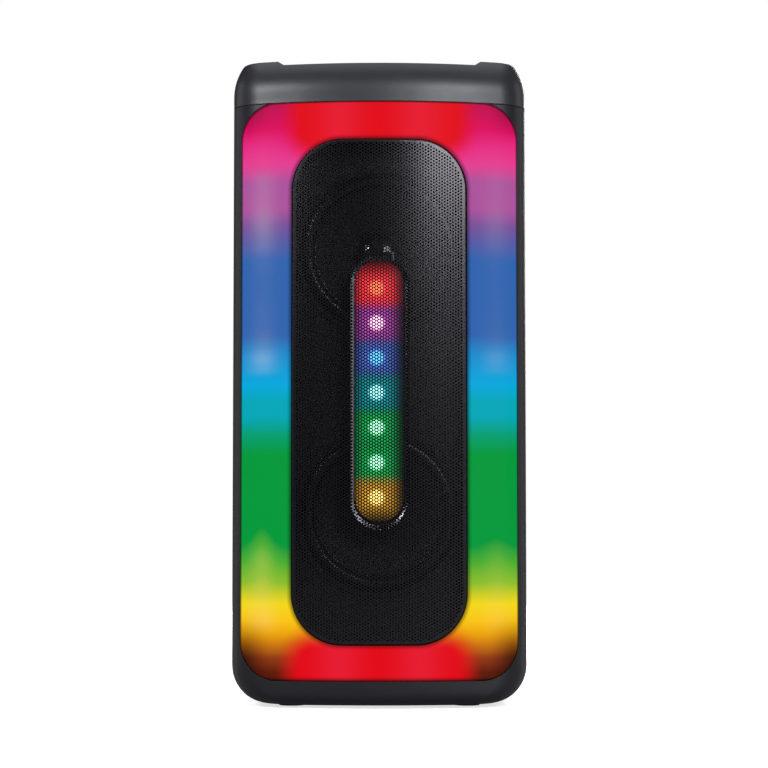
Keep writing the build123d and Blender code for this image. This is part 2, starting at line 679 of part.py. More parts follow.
with BuildPart() as control_plate:
    add(plate_slab(0, PLATE_SEAT, PLATE_TOP))
    chamfer(control_plate.faces().sort_by(Axis.Z)[-1].edges(), 0.4)
    add(pins(button_places, BUTTON_RADIUS + 0.3, PLATE_TOP - 4, PLATE_TOP + 1), mode=Mode.SUBTRACT)
    add(pins([KNOB_PLACE, MIC_PLACE], 3.4, PLATE_TOP - 4, PLATE_TOP + 1), mode=Mode.SUBTRACT)
    # the pocket for the display window
    add(block((-24.2, 24.2), (-102.2, -81.8), (PLATE_TOP - 1.2, PLATE_TOP + 1)), mode=Mode.SUBTRACT)
    # posts that carry the control board
    add(pins(BOARD_POSTS, 4, BOARD_TOP, PLATE_SEAT))
    add(pins(BOARD_POSTS, SHANK_HOLE, BOARD_TOP - 1, BOARD_TOP + 8), mode=Mode.SUBTRACT)
keep(control_plate, "control_plate")

with BuildPart() as display_window:
    add(block((-24, 24), (-102, -82), (PLATE_TOP - 1.2, PLATE_TOP)))
keep(display_window, "display_window")

with BuildPart() as control_board:
    add(plate_slab(-8, BOARD_TOP - BOARD_THICK, BOARD_TOP))
    add(pins(BOARD_POSTS, SHANK_HOLE, BOARD_TOP - 3, BOARD_TOP + 1), mode=Mode.SUBTRACT)
keep(control_board, "control_board")

with BuildPart() as tact_switches:
    with BuildSketch(Plane.XY.offset(BOARD_TOP)):
        with Locations(*button_places):
            Rectangle(6, 6)
    extrude(amount=2.2)
    add(pins(button_places, 1.7, BOARD_TOP + 2, BOARD_TOP + 3.4))
keep(tact_switches, "tact_switches")

with BuildPart() as knob_encoders:
    with BuildSketch(Plane.XY.offset(BOARD_TOP)):
        with Locations(KNOB_PLACE, MIC_PLACE):
            Rectangle(13, 13)
    extrude(amount=6.5)
    add(pins([KNOB_PLACE, MIC_PLACE], 4.5, BOARD_TOP + 6, BOARD_TOP + 13))
    add(pins([KNOB_PLACE, MIC_PLACE], 3.05, BOARD_TOP + 1.5, BOARD_TOP + 14), mode=Mode.SUBTRACT)
keep(knob_encoders, "knob_encoders")


def knob_of(place, radius, top):
    """A knob with a rounded crown, a shallow dish on top, grip flutes and its shaft."""
    flutes = round(2 * pi * radius / FLUTE_PITCH)
    with BuildPart() as knob:
        with BuildSketch(Plane.XY.offset(PLATE_TOP + 0.6)):
            with Locations(place):
                Circle(radius)
        extrude(amount=top - PLATE_TOP - 0.6)
        fillet(knob.edges().group_by(Axis.Z)[-1], 1.6)
        with BuildSketch(Plane.XY.offset(top - 0.7)):
            with Locations(place):
                Circle(radius - 4)
        extrude(amount=2, mode=Mode.SUBTRACT)
        with BuildSketch(Plane.XY.offset(PLATE_TOP + 2.2)):
            with Locations(place):
                with PolarLocations(radius + 0.7, flutes):
                    Circle(1.4)
        extrude(amount=top, mode=Mode.SUBTRACT)
        add(pins([place], 3, BOARD_TOP + 2, PLATE_TOP + 1))
    return knob


keep(knob_of(KNOB_PLACE, 26.0, 619.2), "volume_knob")
keep(knob_of(MIC_PLACE, 11.0, 618.0), "microphone_knob")

for name, place in BUTTONS.items():
    with BuildPart() as button:
        add(pins([place], BUTTON_RADIUS, PLATE_SEAT - 2.4, PLATE_TOP + 2))
        fillet(button.edges().group_by(Axis.Z)[-1], 1)
        add(pins([place], BUTTON_RADIUS + 1.4, PLATE_SEAT - 2.4, PLATE_TOP - 3.1))
        add(pins([place], 2, BOARD_TOP + 4.6, PLATE_SEAT - 2))
    keep(button, name)

# ---- back: bass port and connectors ---------------------------------------------------------------

with BuildPart() as bass_port:
    flare = PORT_FLARE - PORT_RADIUS
    bend = flare * (1 - 1 / sqrt(2))
    with BuildSketch(Plane.XY.offset(PORT_Z)):
        with BuildLine():
            Line((PORT_RADIUS, PORT_FRONT), (PORT_RADIUS, BACK - flare))
            ThreePointArc((PORT_RADIUS, BACK - flare), (PORT_RADIUS + bend, BACK - bend),
                          (PORT_FLARE, BACK))
            Polyline((PORT_FLARE, BACK), (PORT_SPIGOT, BACK), (PORT_SPIGOT, BACK - WALL),
                     (PORT_SPIGOT + 5, BACK - WALL), (PORT_SPIGOT + 5, BACK - WALL - 2.5),
                     (PORT_RADIUS + 4, BACK - WALL - 2.5), (PORT_RADIUS + 3, BACK - 8),
                     (PORT_RADIUS + 3, PORT_FRONT), (PORT_RADIUS, PORT_FRONT))
        make_face()
    revolve(axis=Axis((0, 0, PORT_Z), (0, 1, 0)))
keep(bass_port, "bass_port")

switch_x, switch_z = SWITCH_PLACE
inlet_x, inlet_z = INLET_PLACE
mic_places = [(x, JACK_Z) for x in MIC_JACKS]


def window(centre, width, height, front, back, corner=1.0):
    """A rounded block through a panel, centred at (x, z)."""
    with BuildPart() as piece:
        with BuildSketch(Plane.XZ.offset(-front)):
            with Locations(centre):
                RectangleRounded(width, height, corner)
        extrude(amount=front - back)
    return piece.part


with BuildPart() as connector_plate:
    add(slab(IO_HALF, IO_BOTTOM, IO_TOP, 6, IO_FACE - IO_THICK, IO_FACE))
    chamfer(connector_plate.faces().sort_by(Axis.Y)[-1].edges(), 0.4)
    # the switch's frame: a raised rim, and cheeks that hold its pivots
    add(window(SWITCH_PLACE, 20, 29, IO_FACE - IO_THICK, IO_FACE + 0.9, 2))
    for side in (-1, 1):
        cheek = switch_x + side * 8.6
        add(block((cheek - 1, cheek + 1), (ROCKER_PIVOT_Y - 4, IO_FACE - 1),
                  (switch_z - 6, switch_z + 6)))
    add(window(SWITCH_PLACE, 15.2, 24, ROCKER_PIVOT_Y - 6, BACK), mode=Mode.SUBTRACT)
    with BuildSketch(Plane.YZ.offset(switch_x - 10)):
        with Locations((ROCKER_PIVOT_Y, switch_z)):
            Circle(1.55)
    extrude(amount=20, mode=Mode.SUBTRACT)
    # openings for the sockets
    add(rods(mic_places, 6.2, IO_FACE - 5, BACK), mode=Mode.SUBTRACT)
    add(rods([(AUX_X, JACK_Z)], 3.7, IO_FACE - 5, BACK), mode=Mode.SUBTRACT)
    add(window((USB_X, JACK_Z), 15, 7.8, IO_FACE - 5, BACK, 0.6), mode=Mode.SUBTRACT)
    add(window(INLET_PLACE, 26.4, 16.4, IO_FACE - 5, BACK, 2.2), mode=Mode.SUBTRACT)
    add(rods(PLATE_SCREWS, SHANK_HOLE, IO_FACE - 5, BACK), mode=Mode.SUBTRACT)
keep(connector_plate, "connector_plate")

with BuildPart() as audio_jacks:
    for x in MIC_JACKS:
        add(window((x, JACK_Z), 15, 15, IO_FACE - IO_THICK - 26, IO_FACE - IO_THICK))
    add(window((AUX_X, JACK_Z), 11, 11, IO_FACE - IO_THICK - 14, IO_FACE - IO_THICK))
    add(rods(mic_places, 6, IO_FACE - IO_THICK, IO_FACE + 1))
    add(rods([(AUX_X, JACK_Z)], 3.5, IO_FACE - IO_THICK, IO_FACE + 0.8))
    add(rods(mic_places, MIC_BORE, IO_FACE - 27, IO_FACE + 2), mode=Mode.SUBTRACT)
    add(rods([(AUX_X, JACK_Z)], AUX_BORE, IO_FACE - 15, IO_FACE + 2), mode=Mode.SUBTRACT)
keep(audio_jacks, "audio_jacks")

with BuildPart() as usb_socket:
    add(window((USB_X, JACK_Z), 14.5, 7.3, IO_FACE - 16, IO_FACE + 0.3, 0.5))
    add(window((USB_X, JACK_Z), 13.1, 5.9, IO_FACE - 14, IO_FACE + 1, 0.3), mode=Mode.SUBTRACT)
    add(window((USB_X, JACK_Z + 1.2), 11.2, 1.8, IO_FACE - 14, IO_FACE - 1.5, 0.2))
keep(usb_socket, "usb_socket")

with BuildPart() as mains_inlet:
    add(window(INLET_PLACE, 26, 16, IO_FACE - 18, IO_FACE + 0.6, 2))
    add(window(INLET_PLACE, 20.6, 8.8, IO_FACE - 12, IO_FACE + 1, 4.3), mode=Mode.SUBTRACT)
keep(mains_inlet, "mains_inlet")

with BuildPart() as inlet_pins:
    add(rods([(inlet_x + side * 4.3, inlet_z) for side in (-1, 1)], 1.2, IO_FACE - 12, IO_FACE - 2))
    fillet(inlet_pins.edges().group_by(Axis.Y)[-1], 0.6)
keep(inlet_pins, "inlet_pins")


def tilted(points, degrees):
    """Points about the rocker's pivot, turned and set in place."""
    turn = radians(degrees)
    return [
        (ROCKER_PIVOT_Y + y * cos(turn) - z * sin(turn), switch_z + y * sin(turn) + z * cos(turn))
        for y, z in points
    ]


with BuildPart() as power_rocker:
    with BuildSketch(Plane.YZ.offset(switch_x - 7.2)):
        with BuildLine():
            Polyline(
                *tilted([(7.6, -10.4), (5.6, 0), (7.6, 10.4), (3, 10.4), (-3, 4), (-3, -4), (3, -10.4)],
                        -ROCKER_TILT),
                close=True
            )
        make_face()
    extrude(amount=14.4)
    with BuildSketch(Plane.YZ.offset(switch_x - 9.4)):
        with Locations((ROCKER_PIVOT_Y, switch_z)):
            Circle(1.5)
    extrude(amount=18.8)
keep(power_rocker, "power_rocker")

# ---- electronics and battery ----------------------------------------------------------------------

with BuildPart() as amp_board:
    add(slab(AMP_HALF, AMP_BOTTOM, AMP_TOP, 2, BOARD_FACE, BOARD_FACE + BOARD_THICK))
    add(rods(AMP_POSTS, SHANK_HOLE, BOARD_FACE - 1, BOARD_FACE + 3), mode=Mode.SUBTRACT)
    # a row of capacitors below the heat sink
    add(rods([(-30 + 15 * i, AMP_BOTTOM + 8) for i in range(5)], 5, BOARD_FACE - 14, BOARD_FACE))
keep(amp_board, "amp_board")

with BuildPart() as heat_sink:
    add(block((-SINK_HALF, SINK_HALF), (BOARD_FACE - SINK_BASE, BOARD_FACE), (SINK_BOTTOM, SINK_TOP)))
    with BuildSketch(Plane.XY.offset(SINK_BOTTOM)):
        with Locations((0, BOARD_FACE - SINK_BASE - FIN_DEPTH / 2)):
            with GridLocations(FIN_PITCH, 1, FIN_COUNT, 1):
                Rectangle(2, FIN_DEPTH)
    extrude(amount=SINK_TOP - SINK_BOTTOM)
keep(heat_sink, "heat_sink")

with BuildPart() as power_board:
    add(block(POWER_X, (BOARD_FACE, BOARD_FACE + BOARD_THICK), POWER_Z))
    add(rods(POWER_POSTS, SHANK_HOLE, BOARD_FACE - 1, BOARD_FACE + 3), mode=Mode.SUBTRACT)
    # the transformer, the chokes and the big capacitor
    add(block((72, 104), (BOARD_FACE - 26, BOARD_FACE), (140, 176)))
    add(rods([(80, 118), (97, 118)], 7, BOARD_FACE - 16, BOARD_FACE))
    add(rods([(88, 200)], 11, BOARD_FACE - 30, BOARD_FACE))
keep(power_board, "power_board")

with BuildPart() as battery_pack:
    for level in CELL_LEVELS:
        with BuildSketch(Plane.YZ.offset(-CELL_LENGTH / 2)):
            with Locations(*[(y, level) for y in CELL_ROWS]):
                Circle(CELL_RADIUS)
        extrude(amount=CELL_LENGTH)
keep(battery_pack, "battery_pack")

bracket_front, bracket_back = BRACKET_Y
case_floor = BOTTOM + WALL

with BuildPart() as battery_bracket:
    add(block((-BRACKET_HALF, BRACKET_HALF), BRACKET_Y, (case_floor, BRACKET_TOP)))
    add(block((-BRACKET_HALF + 2, BRACKET_HALF - 2),
              (bracket_front + BRACKET_SHEET, bracket_back - BRACKET_SHEET),
              (case_floor, BRACKET_TOP - BRACKET_SHEET)), mode=Mode.SUBTRACT)
    for side in (-1, 1):
        tab = sorted((side * BRACKET_HALF, side * (BRACKET_HALF + BRACKET_TAB)))
        add(block(tab, (30, 48), (case_floor, case_floor + 2)))
    add(pins(BATTERY_SCREWS, SHANK_HOLE, case_floor - 1, case_floor + 3), mode=Mode.SUBTRACT)
keep(battery_bracket, "battery_bracket")

# ---- screws ---------------------------------------------------------------------------------------


def screws_along_y(places, seat, end):
    """Pan-head screws along y: the head lies on the seat, the shank runs to y = end."""
    inward = 1 if end > seat else -1
    rim = seat - inward * HEAD_HEIGHT
    with BuildPart() as group:
        add(rods(places, HEAD, min(rim, seat), max(rim, seat)))
        add(rods(places, SHANK, min(seat, end), max(seat, end)))
        add(rods(places, 0.9, min(rim, rim + inward), max(rim, rim + inward)), mode=Mode.SUBTRACT)
    return group.part


def screws_along_z(places, seat, end):
    """Pan-head screws along z: the head lies on the seat, the shank runs to z = end."""
    inward = 1 if end > seat else -1
    rim = seat - inward * HEAD_HEIGHT
    with BuildPart() as group:
        add(pins(places, HEAD, min(rim, seat), max(rim, seat)))
        add(pins(places, SHANK, min(seat, end), max(seat, end)))
        add(pins(places, 0.9, min(rim, rim + inward), max(rim, rim + inward)), mode=Mode.SUBTRACT)
    return group.part


with BuildPart() as screws:
    add(screws_along_y(woofer_screws, GASKET_FACE, BAFFLE_FRONT + 2))
    add(screws_along_y(POST_PLACES, BAFFLE_BACK + 4, BAFFLE_FRONT + 0.5))
    add(screws_along_y(PLATE_SCREWS, IO_FACE, IO_FACE - 7))
    add(screws_along_y(AMP_POSTS + POWER_POSTS, BOARD_FACE, BOARD_FACE + 8))
    add(screws_along_z(LUG_SCREWS, LUG_TOP, CHANNEL - 5))
    add(screws_along_z(BOARD_POSTS, BOARD_TOP - BOARD_THICK, BOARD_TOP + 6))
    add(screws_along_z(BATTERY_SCREWS, case_floor + 2, BOTTOM + 1))
keep(screws, "screws")

# ---- export ---------------------------------------------------------------------------------------

os.makedirs("parts", exist_ok=True)
for piece in pieces:
    export_step(piece, f"parts/{piece.label}.step")
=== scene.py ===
import math

import bpy
import numpy as np
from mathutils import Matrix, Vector
from mathutils.geometry import delaunay_2d_cdt


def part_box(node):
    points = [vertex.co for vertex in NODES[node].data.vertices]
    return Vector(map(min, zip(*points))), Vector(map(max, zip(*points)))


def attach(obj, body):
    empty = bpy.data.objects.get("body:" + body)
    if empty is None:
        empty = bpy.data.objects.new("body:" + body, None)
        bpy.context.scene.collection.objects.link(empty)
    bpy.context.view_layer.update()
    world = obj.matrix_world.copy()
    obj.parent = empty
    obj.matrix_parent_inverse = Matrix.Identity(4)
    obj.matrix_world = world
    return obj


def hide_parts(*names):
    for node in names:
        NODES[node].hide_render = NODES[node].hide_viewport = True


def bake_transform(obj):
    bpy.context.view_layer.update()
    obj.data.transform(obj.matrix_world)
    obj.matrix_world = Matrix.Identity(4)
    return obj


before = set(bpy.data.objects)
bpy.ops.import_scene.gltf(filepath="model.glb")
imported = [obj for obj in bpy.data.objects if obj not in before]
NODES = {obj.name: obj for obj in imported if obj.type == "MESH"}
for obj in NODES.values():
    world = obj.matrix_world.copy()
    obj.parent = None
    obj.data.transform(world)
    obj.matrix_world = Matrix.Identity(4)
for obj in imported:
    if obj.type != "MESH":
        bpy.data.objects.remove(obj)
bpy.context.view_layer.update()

# A party speaker in metres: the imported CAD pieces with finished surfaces, a real perforated grille,
# moulded rubber surrounds and printed markings, on a pale studio floor.

MM = 0.001
FIXED = "cabinet"                       # the body that everything fixed rides on


def middle(node):
    """The middle of a CAD node's box."""
    low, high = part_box(node)
    return (low + high) / 2


# ---- material tools -------------------------------------------------------------------------------


def srgb(red, green, blue):
    """A colour given as it looks on a screen, 0 to 255 a channel, as a linear one."""
    channels = [value / 255 for value in (red, green, blue)]
    linear = [c / 12.92 if c <= 0.04045 else ((c + 0.055) / 1.055) ** 2.4 for c in channels]
    return (*linear, 1.0)


WHITE = (1.0, 1.0, 1.0, 1.0)
BLACK = (0.0, 0.0, 0.0, 1.0)


class Surface:
    """A Principled material, with short calls that add nodes to it."""

    def __init__(self, name, color, roughness, **sockets):
        self.material = bpy.data.materials.new(name)
        self.material.use_nodes = True
        self.tree = self.material.node_tree
        self.shader = self.tree.nodes["Principled BSDF"]
        self.shader.inputs["Base Color"].default_value = color
        self.shader.inputs["Roughness"].default_value = roughness
        for key, value in sockets.items():
            self.shader.inputs[key.replace("_", " ")].default_value = value
        self.place = self.node("TexCoord").outputs["Object"]
        self.edge = None                # the normal of softened edges, once soft_edges has made it

    def node(self, kind, inputs=None, **settings):
        """A new node, with its settings and with its inputs set or linked."""
        made = self.tree.nodes.new("ShaderNode" + kind)
        for key, value in settings.items():
            setattr(made, key, value)
        for socket, value in (inputs or {}).items():
            self.feed(made.inputs[socket], value)
        return made

    def feed(self, socket, value):
        """Link an output to the socket, or set the socket's own value."""
        if isinstance(value, bpy.types.NodeSocket):
            self.tree.links.new(value, socket)
        else:
            socket.default_value = value

    def math(self, operation, *values):
        return self.node("Math", dict(enumerate(values)), operation=operation).outputs[0]

    def ramp(self, value, stops, interpolation="LINEAR"):
        """A colour ramp over a value; stops are (position, colour) in rising order."""
        node = self.node("ValToRGB", {"Fac": value})
        ramp = node.color_ramp
        ramp.interpolation = interpolation
        while len(ramp.elements) < len(stops):
            ramp.elements.new(1.0)
        for element, (position, color) in zip(ramp.elements, stops):
            element.position = position
            element.color = color
        return node.outputs["Color"]

    def fade(self, value, start, end, low=0.0, high=1.0):
        """A smooth step of the value from low at start to high at end."""
        inputs = {"Value": value, "From Min": start, "From Max": end, "To Min": low, "To Max": high}
        return self.node("MapRange", inputs, interpolation_type="SMOOTHSTEP").outputs[0]

    def blend(self, factor, first, second, mode="MIX"):
        """A mix of two colours."""
        node = self.node("Mix", data_type="RGBA", blend_type=mode)
        for index, value in ((0, factor), (6, first), (7, second)):
            self.feed(node.inputs[index], value)
        return node.outputs[2]

    def noise(self, size, detail=3.0, stretch=(1, 1, 1)):
        """Noise whose features are about size metres wide, drawn out along each axis by stretch."""
        scale = [1 / (size * s) for s in stretch]
        place = self.node("Mapping", {"Vector": self.place, "Scale": scale}).outputs[0]
        return self.node("TexNoise", {"Vector": place, "Scale": 1.0, "Detail": detail}).outputs["Fac"]

    def relief(self, height, depth, strength=1.0):
        """Bump of the given depth in metres, over the rounded look of the moulded edges."""
        inputs = {"Height": height, "Distance": depth, "Strength": strength}
        if self.edge:
            inputs["Normal"] = self.edge
        bump = self.node("Bump", inputs).outputs[0]
        self.feed(self.shader.inputs["Normal"], bump)

    def soft_edges(self, radius):
        """Corners catch the light as if they were rounded by radius."""
        self.edge = self.node("Bevel", {"Radius": radius}, samples=4).outputs[0]
        self.feed(self.shader.inputs["Normal"], self.edge)


def scaled(color, factor):
    """A colour made darker or lighter."""
    return tuple(factor * channel for channel in color[:3]) + (1.0,)


def moulded(
    name, color, roughness, grain=0.5 * MM, depth=0.03 * MM, edge=0.5 * MM, seam=None, **sockets
):
    """Moulded plastic: a spark-eroded grain, faint flow marks and slightly uneven gloss.

    A seam is the level where this moulding meets the next; a black, matt line there is a painted shadow of
    the gap between the parts."""
    flow_size, gloss_size = 50 * MM, 20 * MM
    surface = Surface(name, color, roughness, **sockets)
    flow = surface.noise(flow_size, 4.0)
    shade = surface.blend(flow, scaled(color, 0.95), scaled(color, 1.05))
    gloss = surface.fade(surface.noise(gloss_size, 5.0), 0.3, 0.7, roughness - 0.015, roughness + 0.015)
    # painted shadow: a black line without highlights along the seam stands in for the shade in the gap
    # between the parts
    if seam:
        level = surface.node("SeparateXYZ", {"Vector": surface.place}).outputs["Z"]
        from_seam = surface.math("ABSOLUTE", surface.math("SUBTRACT", level, seam))
        seam_shadow = surface.fade(from_seam, 0.4 * MM, 0.9 * MM, 1.0, 0.0)
        shade = surface.blend(seam_shadow, shade, BLACK)
        gloss = surface.math("MAXIMUM", gloss, seam_shadow)
    surface.feed(surface.shader.inputs["Base Color"], shade)
    surface.feed(surface.shader.inputs["Roughness"], gloss)
    if edge:
        surface.soft_edges(edge)
    surface.relief(surface.noise(grain, 2.0), depth)
    return surface.material


def polished(name, color, roughness, **sockets):
    """Smooth plastic with faint smears in its gloss."""
    smear_size, dust_size = 12 * MM, 0.9 * MM
    surface = Surface(name, color, roughness, **sockets)
    smear = surface.noise(smear_size, 6.0, (1, 1, 2.5))
    spread = surface.fade(smear, 0.35, 0.75, roughness, roughness + 0.12)
    surface.feed(surface.shader.inputs["Roughness"], spread)
    dust = surface.fade(surface.noise(dust_size, 1.0), 0.72, 0.8, 0.0, 0.25)
    dusty = tuple(min(1.0, c + 0.03) for c in color[:3]) + (1.0,)
    surface.feed(surface.shader.inputs["Base Color"], surface.blend(dust, color, dusty))
    surface.soft_edges(0.4 * MM)
    return surface.material


def metal(name, color, roughness, stretch=(1, 1, 1), **sockets):
    """Plated or brushed metal, its fine marks drawn out along one axis."""
    surface = Surface(name, color, roughness, Metallic=1.0, **sockets)
    marks = surface.noise(0.35 * MM, 4.0, stretch)
    surface.feed(surface.shader.inputs["Base Color"], surface.blend(marks, scaled(color, 0.75), color))
    gloss = surface.fade(marks, 0.2, 0.8, roughness - 0.08, roughness + 0.12)
    surface.feed(surface.shader.inputs["Roughness"], gloss)
    surface.relief(marks, 0.01 * MM)
    return surface.material


def board(name, mask, trace, across):
    """A circuit board: solder mask over paler tracks; across lists the board's two axes."""
    track, track_width, track_length = 0.35 * MM, 2.6 * MM, 9 * MM
    surface = Surface(name, mask, 0.35, Coat_Weight=0.3)
    axes = surface.node("SeparateXYZ", {"Vector": surface.place}).outputs
    plane = surface.node("CombineXYZ", {0: axes[across[0]], 1: axes[across[1]]}).outputs[0]
    bricks = surface.node(
        "TexBrick",
        {"Vector": plane, "Scale": 1.0, "Mortar Size": track, "Brick Width": track_length,
         "Row Height": track_width, "Color1": mask, "Color2": mask, "Mortar": trace},
        offset=0.5,
    )
    surface.feed(surface.shader.inputs["Base Color"], bricks.outputs["Color"])
    surface.relief(bricks.outputs["Fac"], 0.03 * MM)
    return surface.material


# ---- building tools -------------------------------------------------------------------------------


def new_piece(name, vertices, faces, material, smooth=False):
    """A mesh object from points and faces, with its material."""
    mesh = bpy.data.meshes.new(name)
    mesh.from_pydata([tuple(v) for v in vertices], [], [tuple(f) for f in faces])
    mesh.validate()
    mesh.update()
    mesh.polygons.foreach_set("use_smooth", [smooth] * len(mesh.polygons))
    mesh.materials.append(material)
    made = bpy.data.objects.new(name, mesh)
    bpy.context.scene.collection.objects.link(made)
    return made


def ring_faces(loops, points):
    """Quads between loops of points: loop after loop, each loop closed on itself."""
    return [
        (i * points + j, i * points + (j + 1) % points,
         (i + 1) % loops * points + (j + 1) % points, (i + 1) % loops * points + j)
        for i in range(loops) for j in range(points)
    ]


def lathe(profile, centre, steps):
    """Points of a closed (radius, y) profile turned about an axis along y through centre."""
    points = []
    for i in range(steps):
        angle = 2 * math.pi * i / steps
        for radius, y in profile:
            points.append((centre.x + radius * math.cos(angle), y, centre.z + radius * math.sin(angle)))
    return points, ring_faces(steps, len(profile))


def prism(outlines, place, low, high):
    """Flat-topped plates over closed 2-D outlines; place maps (u, v, height) to a point."""
    points, faces = [], []
    for outline in outlines:
        base, count = len(points), len(outline)
        points += [place(u, v, low) for u, v in outline] + [place(u, v, high) for u, v in outline]
        faces.append([base + i for i in reversed(range(count))])
        faces.append([base + count + i for i in range(count)])
        faces += [
            (base + i, base + (i + 1) % count, base + count + (i + 1) % count, base + count + i)
            for i in range(count)
        ]
    return points, faces


# ---- grille ---------------------------------------------------------------------------------------

BOW = 390 * MM                          # radius of the cabinet's front, in plan
SHEET = 1.2 * MM
PITCH = 3.0 * MM                        # of the holes, which stand in a triangular pattern
HOLE = 1.0 * MM                         # their radius
HOLE_SIDES = 12
ROLL = 1.6 * MM                         # width of the grille's rolled edge
CORNER = 48 * MM
SHEET_SET = 1.0 * MM                    # how far the sheet lies behind the bow of the cabinet's front
CELL_MARGIN = 0.5 * MM                  # least distance from a hole's cell to the rolled edge
SECTIONS = 4
RECESS = 1.5 * MM                       # how far the sheet steps back over the light bar
RECESS_SLOPE = 4.5 * MM                 # width of that step
PANEL_HALF = 132 * MM                   # the light panel's outline, as the front frame shows it
PANEL_CORNER = 35 * MM

grille_low, grille_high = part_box("grille")
bar_low, bar_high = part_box("light_bar_housing")
grille_mid = middle("grille")
half_width = grille_high.x
half_height = (grille_high.z - grille_low.z) / 2
bow_centre = grille_low.y + BOW - SHEET_SET
sheet_radius = bow_centre - grille_low.y


def sheet_y(x, behind=0.0):
    """Where the grille's face is at x, or a surface that far behind it."""
    return bow_centre - math.sqrt((sheet_radius - behind) ** 2 - x * x)


def recess(x, z):
    """How far back the recess over the light bar puts the sheet at (x, z), z above its middle."""
    half_bar = bar_high.x
    straight = (bar_high.z - bar_low.z) / 2 - half_bar
    along = max(abs(z + grille_mid.z - (bar_high.z + bar_low.z) / 2) - straight, 0)
    share = min(1.0, max(0.0, (half_bar - math.hypot(x, along)) / RECESS_SLOPE))
    return RECESS * share * share * (3 - 2 * share)


def outside(x, z, inset):
    """Distance outside the grille's rounded outline, pulled in by inset; negative inside."""
    corner = CORNER - inset
    u = abs(x) - (half_width - inset - corner)
    v = abs(z) - (half_height - inset - corner)
    return math.hypot(max(u, 0), max(v, 0)) + min(max(u, v), 0) - corner


def rounded_outline(inset, corner_steps=16, side_steps=8, end_steps=4):
    """Points round the grille's outline, pulled in by inset, anticlockwise from the right side."""
    corner = CORNER - inset
    a, b = half_width - CORNER, half_height - CORNER
    outline = []
    for quarter, (sx, sz) in enumerate(((1, 1), (-1, 1), (-1, -1), (1, -1))):
        for i in range(corner_steps + 1):
            angle = math.pi / 2 * (quarter + i / corner_steps)
            outline.append((sx * a + corner * math.cos(angle), sz * b + corner * math.sin(angle)))
        last = outline[-1]
        steps = end_steps if quarter % 2 == 0 else side_steps
        turn = ((-1, 0), (0, -1), (1, 0), (0, 1))[quarter]
        span = 2 * (a if quarter % 2 == 0 else b)
        for i in range(1, steps):
            outline.append((last[0] + turn[0] * span * i / steps, last[1] + turn[1] * span * i / steps))
    return outline


HEXAGON = [(2, 0), (1, 1), (-1, 1), (-2, 0), (-1, -1), (1, -1)]


def perforated_cells():
    """The lattice places, as whole numbers, whose hexagonal cells lie inside the rolled edge."""
    unit_x, unit_z = PITCH / math.sqrt(12), PITCH / 2
    columns = int(half_width / (3 * unit_x)) + 1
    rows = int(half_height / (2 * unit_z)) + 1
    kept = []
    for i in range(-columns, columns + 1):
        for j in range(-rows, rows + 1):
            u, v = 3 * i, 2 * j + (i % 2)
            corners = [(u + du, v + dv) for du, dv in HEXAGON]
            if all(outside(a * unit_x, b * unit_z, ROLL) < -CELL_MARGIN for a, b in corners):
                kept.append((u, v))
    return kept, unit_x, unit_z


def grille_triangles():
    """The grille's face as flat triangles: a ring round each hole, and the strip beside the edge."""
    cells, unit_x, unit_z = perforated_cells()
    points, index = [], {}

    def point(key, x, z):
        if key not in index:
            index[key] = len(points)
            points.append((x, z))
        return index[key]

    triangles, border = [], {}
    for u, v in cells:
        rim = [point((u + a, v + b), (u + a) * unit_x, (v + b) * unit_z) for a, b in HEXAGON]
        hole = []
        for k in range(HOLE_SIDES):
            angle = 2 * math.pi * k / HOLE_SIDES
            x, z = u * unit_x + HOLE * math.cos(angle), v * unit_z + HOLE * math.sin(angle)
            hole.append(point((u, v, k), x, z))
        for k in range(6):
            a, b = rim[k], rim[(k + 1) % 6]
            h0, h1, h2 = hole[2 * k], hole[2 * k + 1], hole[(2 * k + 2) % HOLE_SIDES]
            triangles += [(a, h1, h0), (a, b, h1), (b, h2, h1)]
            border[(a, b)] = border.get((a, b), 0) + 1
    stairs = [edge for edge in border if (edge[1], edge[0]) not in border]
    stair_points = sorted({i for edge in stairs for i in edge})
    outline = rounded_outline(ROLL)
    for k, (x, z) in enumerate(outline):
        point(("edge", k), x, z)
    first = index[("edge", 0)]
    used = stair_points + list(range(first, first + len(outline)))
    local = {i: n for n, i in enumerate(used)}
    edges = [(local[a], local[b]) for a, b in stairs]
    edges += [(local[first + k], local[first + (k + 1) % len(outline)]) for k in range(len(outline))]
    flat = [Vector(points[i]) for i in used]
    found, _, strips, *_ = delaunay_2d_cdt(flat, edges, [], 1, 1e-7)

    def source(k, place):
        """The point that the k-th found place came from."""
        if k < len(flat):
            return used[k]
        return used[min(range(len(flat)), key=lambda n: (flat[n] - place).length)]

    places = [source(k, place) for k, place in enumerate(found)]
    kept = set(cells)
    for triangle in strips:
        corners = [places[i] for i in triangle]
        x = sum(points[i][0] for i in corners) / 3 / unit_x
        z = sum(points[i][1] for i in corners) / 3 / unit_z
        near = [(3 * i, 2 * j + (i % 2)) for i in (math.floor(x / 3), math.floor(x / 3) + 1)
                for j in range(math.floor(z / 2) - 1, math.floor(z / 2) + 2)]
        cell = min(near, key=lambda c: (c[0] - x) ** 2 + 3 * (c[1] - z) ** 2)
        if cell not in kept:
            triangles.append(tuple(reversed(corners)))
    return points, triangles


